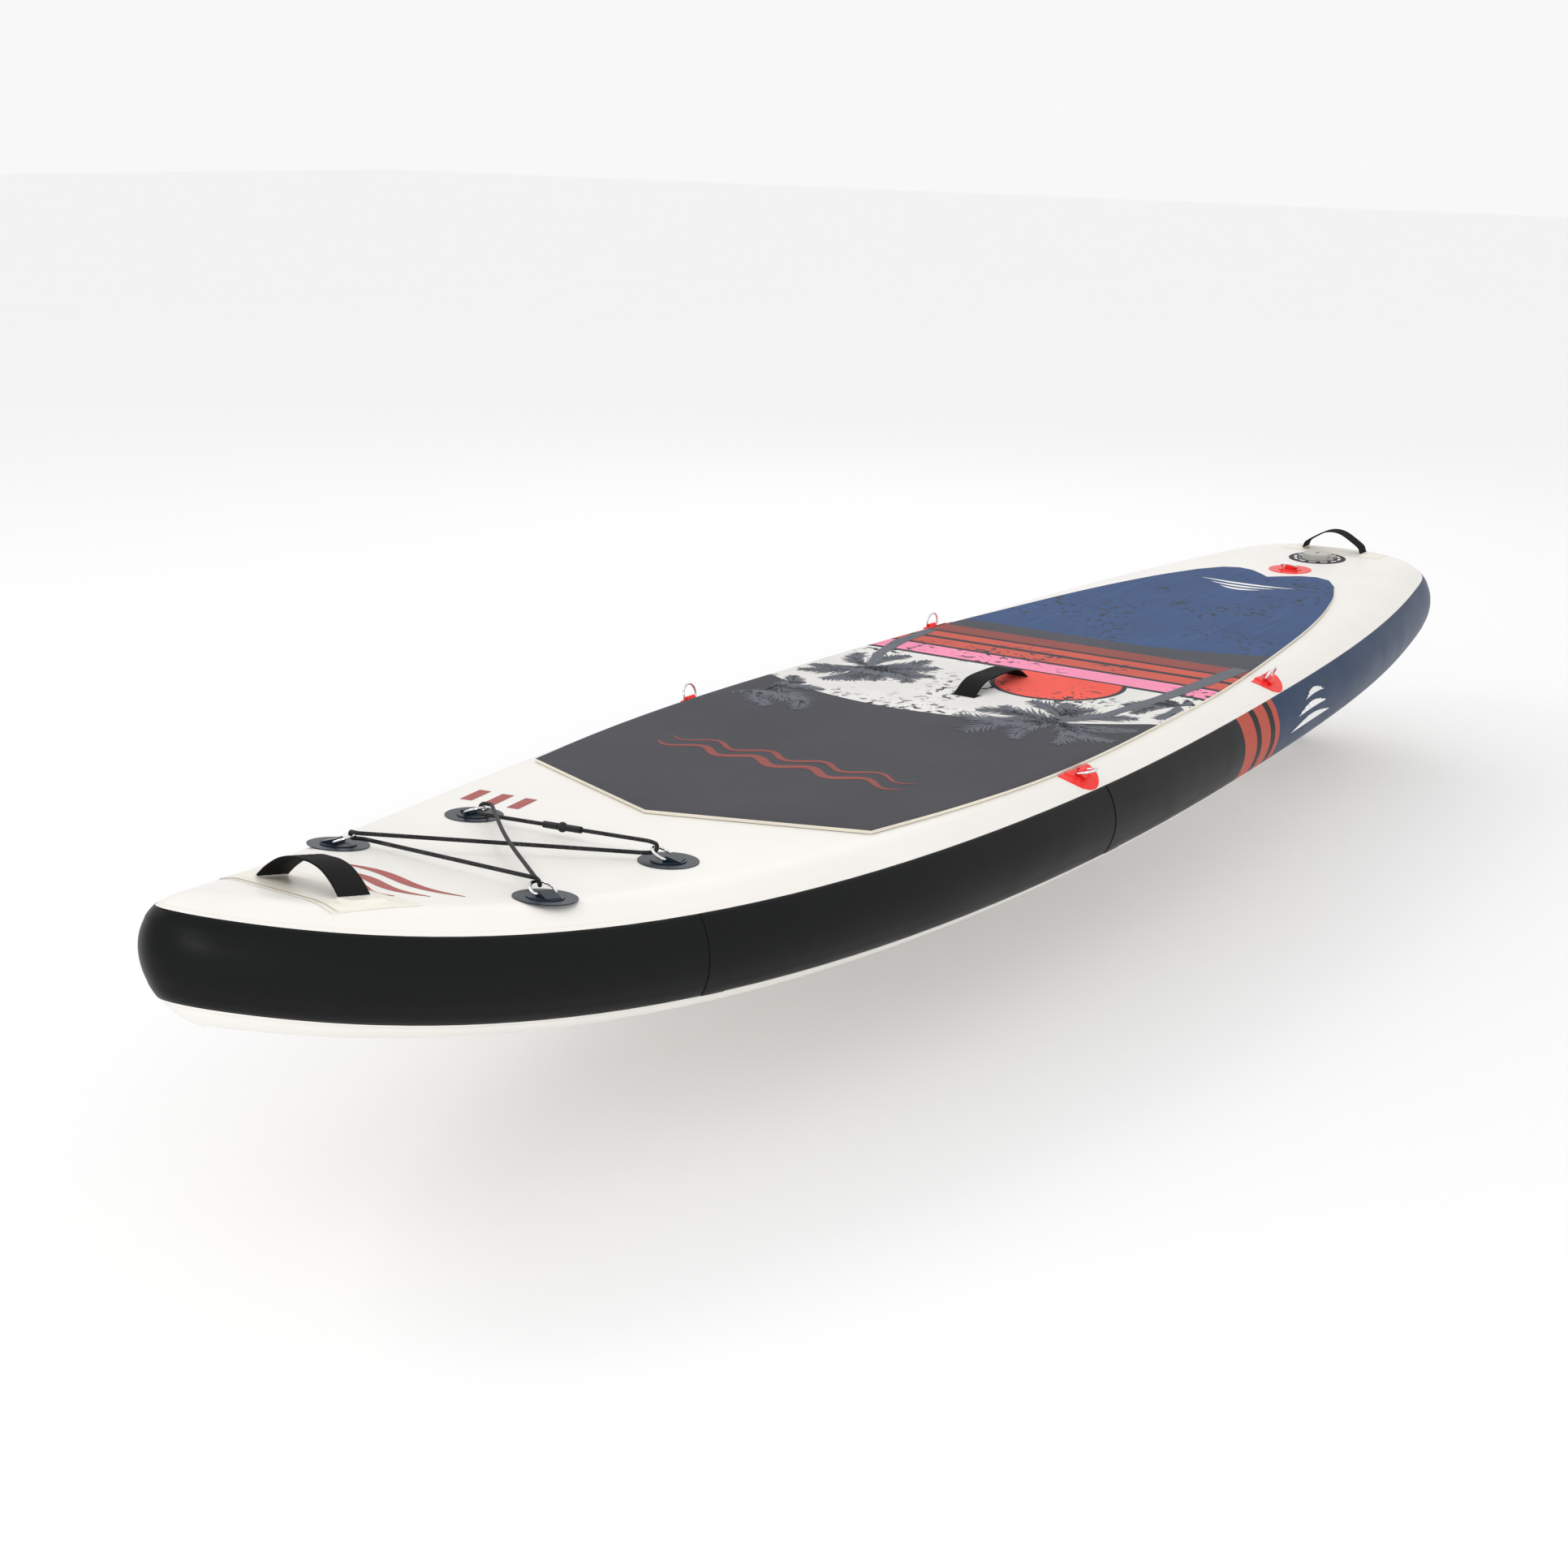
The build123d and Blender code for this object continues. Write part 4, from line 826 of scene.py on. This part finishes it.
def print_marks():
    """Generic marks: waves and strokes where the real board carries lettering."""
    waves = []
    for k, width in enumerate((0.015, 0.009)):
        wave = []
        for j in range(65):
            t = j / 64
            wave.append((2.100 - 0.036 * k + 0.013 * math.sin(9 * math.pi * t), -0.205 + 0.410 * t))
        waves.append(swelling(wave, 0.001, width, 0.5))
    ribbon("print_waves", waves, on_print, "wave_print")
    strokes = []
    for k, length in enumerate((0.19, 0.13, 0.08)):
        arc = []
        for j in range(13):
            t = j / 12
            x = 0.520 + 0.024 * k + 0.012 * math.sin(math.pi * t)
            arc.append((x, -0.10 + 0.03 * k + length * t))
        strokes.append(swelling(arc, 0.001, 0.012))
    ribbon("print_strokes_tail", strokes, on_print, "white_ink")


def s_wave(x, y_from, length, height):
    """Plan points of one full wave that runs to starboard."""
    wave = []
    for j in range(25):
        t = j / 24
        wave.append((x + height * math.sin(2 * math.pi * t), y_from - length * t))
    return wave


def deck_marks():
    """Generic waves on the nose and short bars beside it, printed on the deck."""
    waves = []
    for k, length in enumerate((0.20, 0.16, 0.10)):
        waves.append(swelling(s_wave(2.850 + 0.034 * k, 0.105 - 0.02 * k, length, 0.010), 0.002, 0.015))
    ribbon("deck_waves_nose", waves, on_deck, "red_ink")
    bars = []
    for k in range(3):
        x, y = 2.445 - 0.004 * k, -0.225 + 0.036 * k
        bars.append(sides([(x, y), (x + 0.052, y + 0.012)], [0.017, 0.017]))
    ribbon("deck_bars_side", bars, on_deck, "red_ink")


def bottom_marks():
    """Generic waves under the nose, printed on the bottom sheet."""
    waves = []
    for k in range(3):
        wave = s_wave(2.900 - 0.060 * k, 0.10 + 0.02 * k, 0.20 + 0.04 * k, 0.016)
        waves.append(swelling(wave, 0.002, 0.018))
    ribbon("bottom_waves_nose", waves, on_bottom, "red_ink")


def rail_marks():
    """Generic pale strokes on the navy part of each rail."""
    for side_name, side in SIDES:
        def on_rail(x, turn):
            return rail_point(sample_at(x), turn * 100, 0.0012, side)

        strokes = []
        for x_from, x_to, angle, width in (
            (1.150, 0.960, -0.12, 0.09), (1.120, 0.985, 0.04, 0.08), (1.075, 0.990, 0.19, 0.07),
        ):
            run = []
            for k in range(21):
                t = k / 20
                swell = math.sin(math.pi * t)
                run.append((x_from + (x_to - x_from) * t, angle + 0.05 * swell, width * swell + 0.004))
            strokes.append([((x, a + w / 2), (x, a - w / 2)) for x, a, w in run])
        ribbon("rail_strokes_" + side_name, strokes, on_rail, "white_ink")


# ---------------------------------------------------------------- webbing handles
def smooth_line(corners, per_run):
    """Samples of a smooth line through flat points."""
    line = []
    for a, b, c, d in zip([corners[0]] + corners, corners, corners[1:], corners[2:] + [corners[-1]]):
        for k in range(per_run):
            t = k / per_run
            point = []
            for i in (0, 1):
                square = (2 * a[i] - 5 * b[i] + 4 * c[i] - d[i]) * t * t
                cube = (3 * b[i] - a[i] - 3 * c[i] + d[i]) * t**3
                point.append(0.5 * (2 * b[i] + (c[i] - a[i]) * t + square + cube))
            line.append(point)
    line.append(list(corners[-1]))
    return line


def strap(name, x, half_span, rise, width, foot, lift, along, arch):
    """Webbing loop swept along its bent line, with rolled edges and a slight crown."""
    level_z = 0.0012
    corners = [(half_span + foot, level_z), (half_span + 0.004, level_z)]
    corners += [(half_span * s, level_z + (rise - level_z) * h) for s, h in arch]
    corners = [(-s, h) for s, h in corners] + [(0, rise)] + list(reversed(corners))
    line = smooth_line(corners, 8)
    base = deck_frame(x, 0 if along else 90, lift)
    half = width / 2
    thick = 0.0011
    profile = [(-half, 0), (-half + 0.0006, thick), (-half + 0.003, thick * 1.15)]
    for k in range(1, 8):
        v = -half + 0.003 + (width - 0.006) * k / 8
        profile.append((v, thick + 0.00025 * math.cos(k * math.pi)))
    profile += [(half - 0.003, thick * 1.15), (half - 0.0006, thick), (half, 0)]
    profile += [(half - 0.0006, -thick), (0, -thick), (-half + 0.0006, -thick)]
    rows = []
    for k, (s, h) in enumerate(line):
        before, after = line[max(k - 1, 0)], line[min(k + 1, len(line) - 1)]
        ds, dh = after[0] - before[0], after[1] - before[1]
        run = math.hypot(ds, dh)
        ns, nh = -dh / run, ds / run
        row = [base @ Vector((s + ns * t, v, h + nh * t)) for v, t in profile]
        rows.append(row + [row[0]])
    label = name + "_handle_strap"
    piece = add_piece(label, grid_mesh(label, rows), ["webbing"])
    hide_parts(name + "_handle_webbing")


def climb(value, run):
    """Climbs from 0 to 1 as value goes from 0 to run."""
    return min(max(value / run, 0), 1)


def handle_patch(name, x, half_x, front, rear, strap_half):
    """Patch that follows the deck and rises over the feet of a strap, which go in at two slits."""
    rows = []
    for i in range(121):
        row = []
        for k in range(41):
            v = -half_x + 2 * half_x * k / 40
            edge_y = rear + (front - rear) * (v + half_x) / (2 * half_x)
            y = edge_y * (i / 60 - 1)
            over_strap = climb(strap_half + 0.006 - abs(v), 0.005)
            past_slit = climb(abs(y) - PATCH_SLIT_Y, 0.001)
            before_end = climb(PATCH_SLIT_Y + FOOT_COVER - abs(y), 0.008)
            rim = climb(min(edge_y - abs(y), half_x - abs(v)), 0.001)
            height = 0.0002 + 0.0010 * rim + 0.0030 * over_strap * past_slit * before_end
            row.append(on_deck(x + v, y, height))
        rows.append(row)
    label = name + "_handle_cover"
    piece = add_piece(label, grid_mesh(label, rows), ["patch_pvc"])
    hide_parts(name + "_handle_patch")


def handles():
    """Nose, centre and tail handles. Each arch is given in shares of the half span and the rise."""
    nose_arch = [(0.985, 0.12), (0.83, 0.42), (0.55, 0.80), (0.26, 0.98)]
    tail_arch = [(1.00, 0.13), (0.93, 0.34), (0.62, 0.66), (0.30, 0.92)]
    centre_arch = [(0.93, 0.22), (0.74, 0.66), (0.52, 0.93), (0.25, 1.0)]
    strap("nose", NOSE_HANDLE_X, 0.060, 0.0318, 0.048, 0.020, 0.0014, False, nose_arch)
    strap("tail", TAIL_HANDLE_X, 0.060, 0.0408, 0.032, 0.020, 0.0014, False, tail_arch)
    strap("centre", CENTRE_HANDLE_X, 0.086, 0.0238, 0.038, 0.028, 0.0013, True, centre_arch)
    handle_patch("nose", NOSE_HANDLE_X, 0.052, 0.090, 0.112, 0.024)
    handle_patch("tail", TAIL_HANDLE_X, 0.027, 0.104, 0.104, 0.016)


def nose_welds():
    """Thin welded ridges straight across the deck in front of the nose handle."""
    rows = []
    for x in NOSE_WELDS:
        run = []
        for k in range(33):
            y = WELD_HALF_Y - 2 * WELD_HALF_Y * k / 32
            run.append(((x - WELD_WIDTH / 2, y), (x + WELD_WIDTH / 2, y)))
        rows.append(run)
    ribbon("nose_handle_welds", rows, lambda x, y: on_deck(x, y, WELD_HEIGHT), "patch_pvc")


def side_steps():
    """Raised inner step of the four patches beside the pad."""
    for where, x in SIDE_PATCH_X.items():
        for side_name, side in SIDES:
            edge_y = half_width(x) - SIDE_PATCH_INSET
            rows = []
            for height, size in ((0.0011, 1.0), (0.0026, 0.93), (0.0028, 0.8), (0.0028, 0.4)):
                row = []
                for k in range(41):
                    turn = math.pi * k / 40
                    px = x + 0.027 * size * math.cos(turn)
                    py = side * (edge_y + (0.002 + 0.024 * size * math.sin(turn)))
                    row.append(on_deck(px, py, height))
                rows.append(row)
            label = "side_patch_step_" + where + "_" + side_name
            add_piece(label, grid_mesh(label, rows), ["red_pvc"])


# ---------------------------------------------------------------- valve
LABEL_TOP = 0.00088
CIRCLE_INNER, CIRCLE_OUTER = 0.0345, 0.0355
ARC_INNER, ARC_OUTER, ARC_COUNT, ARC_DEGREES = 0.0410, 0.0465, 12, 19
GRIP_RIBS, GRIP_RADIUS, GRIP_HEIGHT, GRIP_GAP_DEGREES = 40, 0.0270, 0.0078, 14


def valve_marks():
    """A pale circle and evenly spaced arcs printed on the ring round the valve."""
    base = deck_frame(VALVE_X)
    vertices, faces = [], []

    def arc(r0, r1, a0, a1, count):
        start = len(vertices)
        for k in range(count + 1):
            a = a0 + (a1 - a0) * k / count
            for r in (r0, r1):
                vertices.append(base @ Vector((r * math.cos(a), r * math.sin(a), LABEL_TOP)))
        for k in range(count):
            i = start + 2 * k
            faces.append((i, i + 1, i + 3, i + 2))

    arc(CIRCLE_INNER, CIRCLE_OUTER, 0, 2 * math.pi, 72)
    for k in range(ARC_COUNT):
        a = 2 * math.pi * k / ARC_COUNT
        arc(ARC_INNER, ARC_OUTER, a, a + math.radians(ARC_DEGREES), 8)
    mesh = bpy.data.meshes.new("valve_label_marks")
    mesh.from_pydata(vertices, [], faces)
    add_piece("valve_label_marks", mesh, ["white_ink"])


def valve_cap_grip():
    """Grip ribs round the rim of the valve cap, which move with it. The hinge side has none."""
    base = deck_frame(VALVE_X)
    rim = Matrix.Translation((GRIP_RADIUS, 0, GRIP_HEIGHT))
    shape = bmesh.new()
    for k in range(GRIP_RIBS):
        turn = 2 * math.pi * k / GRIP_RIBS
        if abs(math.degrees(turn) - 90) < GRIP_GAP_DEGREES:
            continue
        move = base @ Matrix.Rotation(turn, 4, "Z") @ rim
        rib = move @ Matrix.Diagonal((0.0008, 0.0010, 0.0030, 1))
        bmesh.ops.create_icosphere(shape, subdivisions=2, radius=1.0, matrix=rib)
    mesh = bpy.data.meshes.new("valve_cap_grip")
    shape.to_mesh(mesh)
    shape.free()
    add_piece("valve_cap_grip", mesh, ["valve_plastic"], "valve_cap")


# ---------------------------------------------------------------- build
deck_mesh = sheet("deck_sheet", SEAM_UP, "deck_skin")
DECK = BVHTree.FromPolygons(
    [v.co.copy() for v in deck_mesh.vertices],
    [tuple(f.vertices) for f in deck_mesh.polygons],
)
sheet("bottom_sheet", SEAM_DOWN, "bottom_skin")
rails()
seam_beads()
pad()
sun()
for palm_name, crown, trunk, tips in PALMS:
    palm(palm_name, crown, trunk, tips)
print_marks()
deck_marks()
bottom_marks()
rail_marks()
handles()
nose_welds()
side_steps()
valve_marks()
valve_cap_grip()

for item in frame["record"]["subparts"]:
    node = frame["nodes"][item["node"]]
    node.data.materials.clear()
    node.data.materials.append(MATERIALS[item["material_slot"]])

# ---------------------------------------------------------------- camera, light and floor
CAMERA = Vector((3.0816, 1.7739, 1.2080))
YAW, PITCH, ROLL = 214.34, 15.7, 1.11
SENSOR, FOCAL_LENGTH = 36.0, 54.3
SHIFT_X, SHIFT_Y = 0.0008, -0.0062

FLOOR_REACH = 30.0
FLOOR_COLOUR = (0.95, 0.95, 0.95)
WORLD_STRENGTH = 0.94

# Each light: its name, its place, what it is aimed at, its size and its power in watts.
LIGHTS = [
    ("key", (2.4, -3.0, 3.6), (0.4, 0, 0.3), 1.6, 24),
    ("back", (-3.5, -2.0, 3.0), (0, 0, 0.3), 2.0, 12),
    ("nose", (3.70, 2.30, 1.38), (1.577, 0.041, 0.395), 0.40, 26),
]


def camera():
    """Camera at the angle the board is shown from."""
    yaw, pitch, roll = math.radians(YAW), math.radians(PITCH), math.radians(ROLL)
    ahead = Vector((math.cos(yaw) * math.cos(pitch), math.sin(yaw) * math.cos(pitch), -math.sin(pitch)))
    right = ahead.cross(Vector((0, 0, 1))).normalized()
    up = right.cross(ahead)
    turned_right = right * math.cos(roll) + up * math.sin(roll)
    turned_up = up * math.cos(roll) - right * math.sin(roll)
    data = bpy.data.cameras.new("camera")
    data.sensor_width = SENSOR
    data.lens = FOCAL_LENGTH
    data.shift_x = SHIFT_X
    data.shift_y = SHIFT_Y
    eye = bpy.data.objects.new("camera", data)
    bpy.context.scene.collection.objects.link(eye)
    turn = Matrix((turned_right, turned_up, -ahead)).transposed().to_4x4()
    eye.matrix_world = Matrix.Translation(CAMERA) @ turn
    bpy.context.scene.camera = eye


def area_light(name, place, target, size, power):
    """A soft square light aimed at a point."""
    data = bpy.data.lights.new(name, "AREA")
    data.energy = power
    data.size = size
    lamp = bpy.data.objects.new(name, data)
    bpy.context.scene.collection.objects.link(lamp)
    aim = (Vector(target) - Vector(place)).to_track_quat("-Z", "Y")
    lamp.matrix_world = Matrix.Translation(Vector(place)) @ aim.to_matrix().to_4x4()


def studio():
    """Pale floor, pale world and three soft lights."""
    mesh = bpy.data.meshes.new("floor")
    turns = ((-1, -1), (1, -1), (1, 1), (-1, 1))
    mesh.from_pydata([(FLOOR_REACH * a, FLOOR_REACH * b, 0) for a, b in turns], [], [(0, 1, 2, 3)])
    floor = bpy.data.objects.new("floor", mesh)
    bpy.context.scene.collection.objects.link(floor)
    paint = Paint("floor", FLOOR_COLOUR, 0.9)
    paint.colour(paint.mix(paint.noise(1.5), (0.945, 0.945, 0.945), (0.955, 0.955, 0.955)))
    mesh.materials.append(paint.material)
    world_data = bpy.data.worlds.new("studio")
    bpy.context.scene.world = world_data
    world_data.use_nodes = True
    background = world_data.node_tree.nodes["Background"]
    background.inputs["Color"].default_value = (1, 1, 1, 1)
    background.inputs["Strength"].default_value = WORLD_STRENGTH
    for light in LIGHTS:
        area_light(*light)
    bpy.context.scene.view_settings.view_transform = "Standard"


camera()
studio()
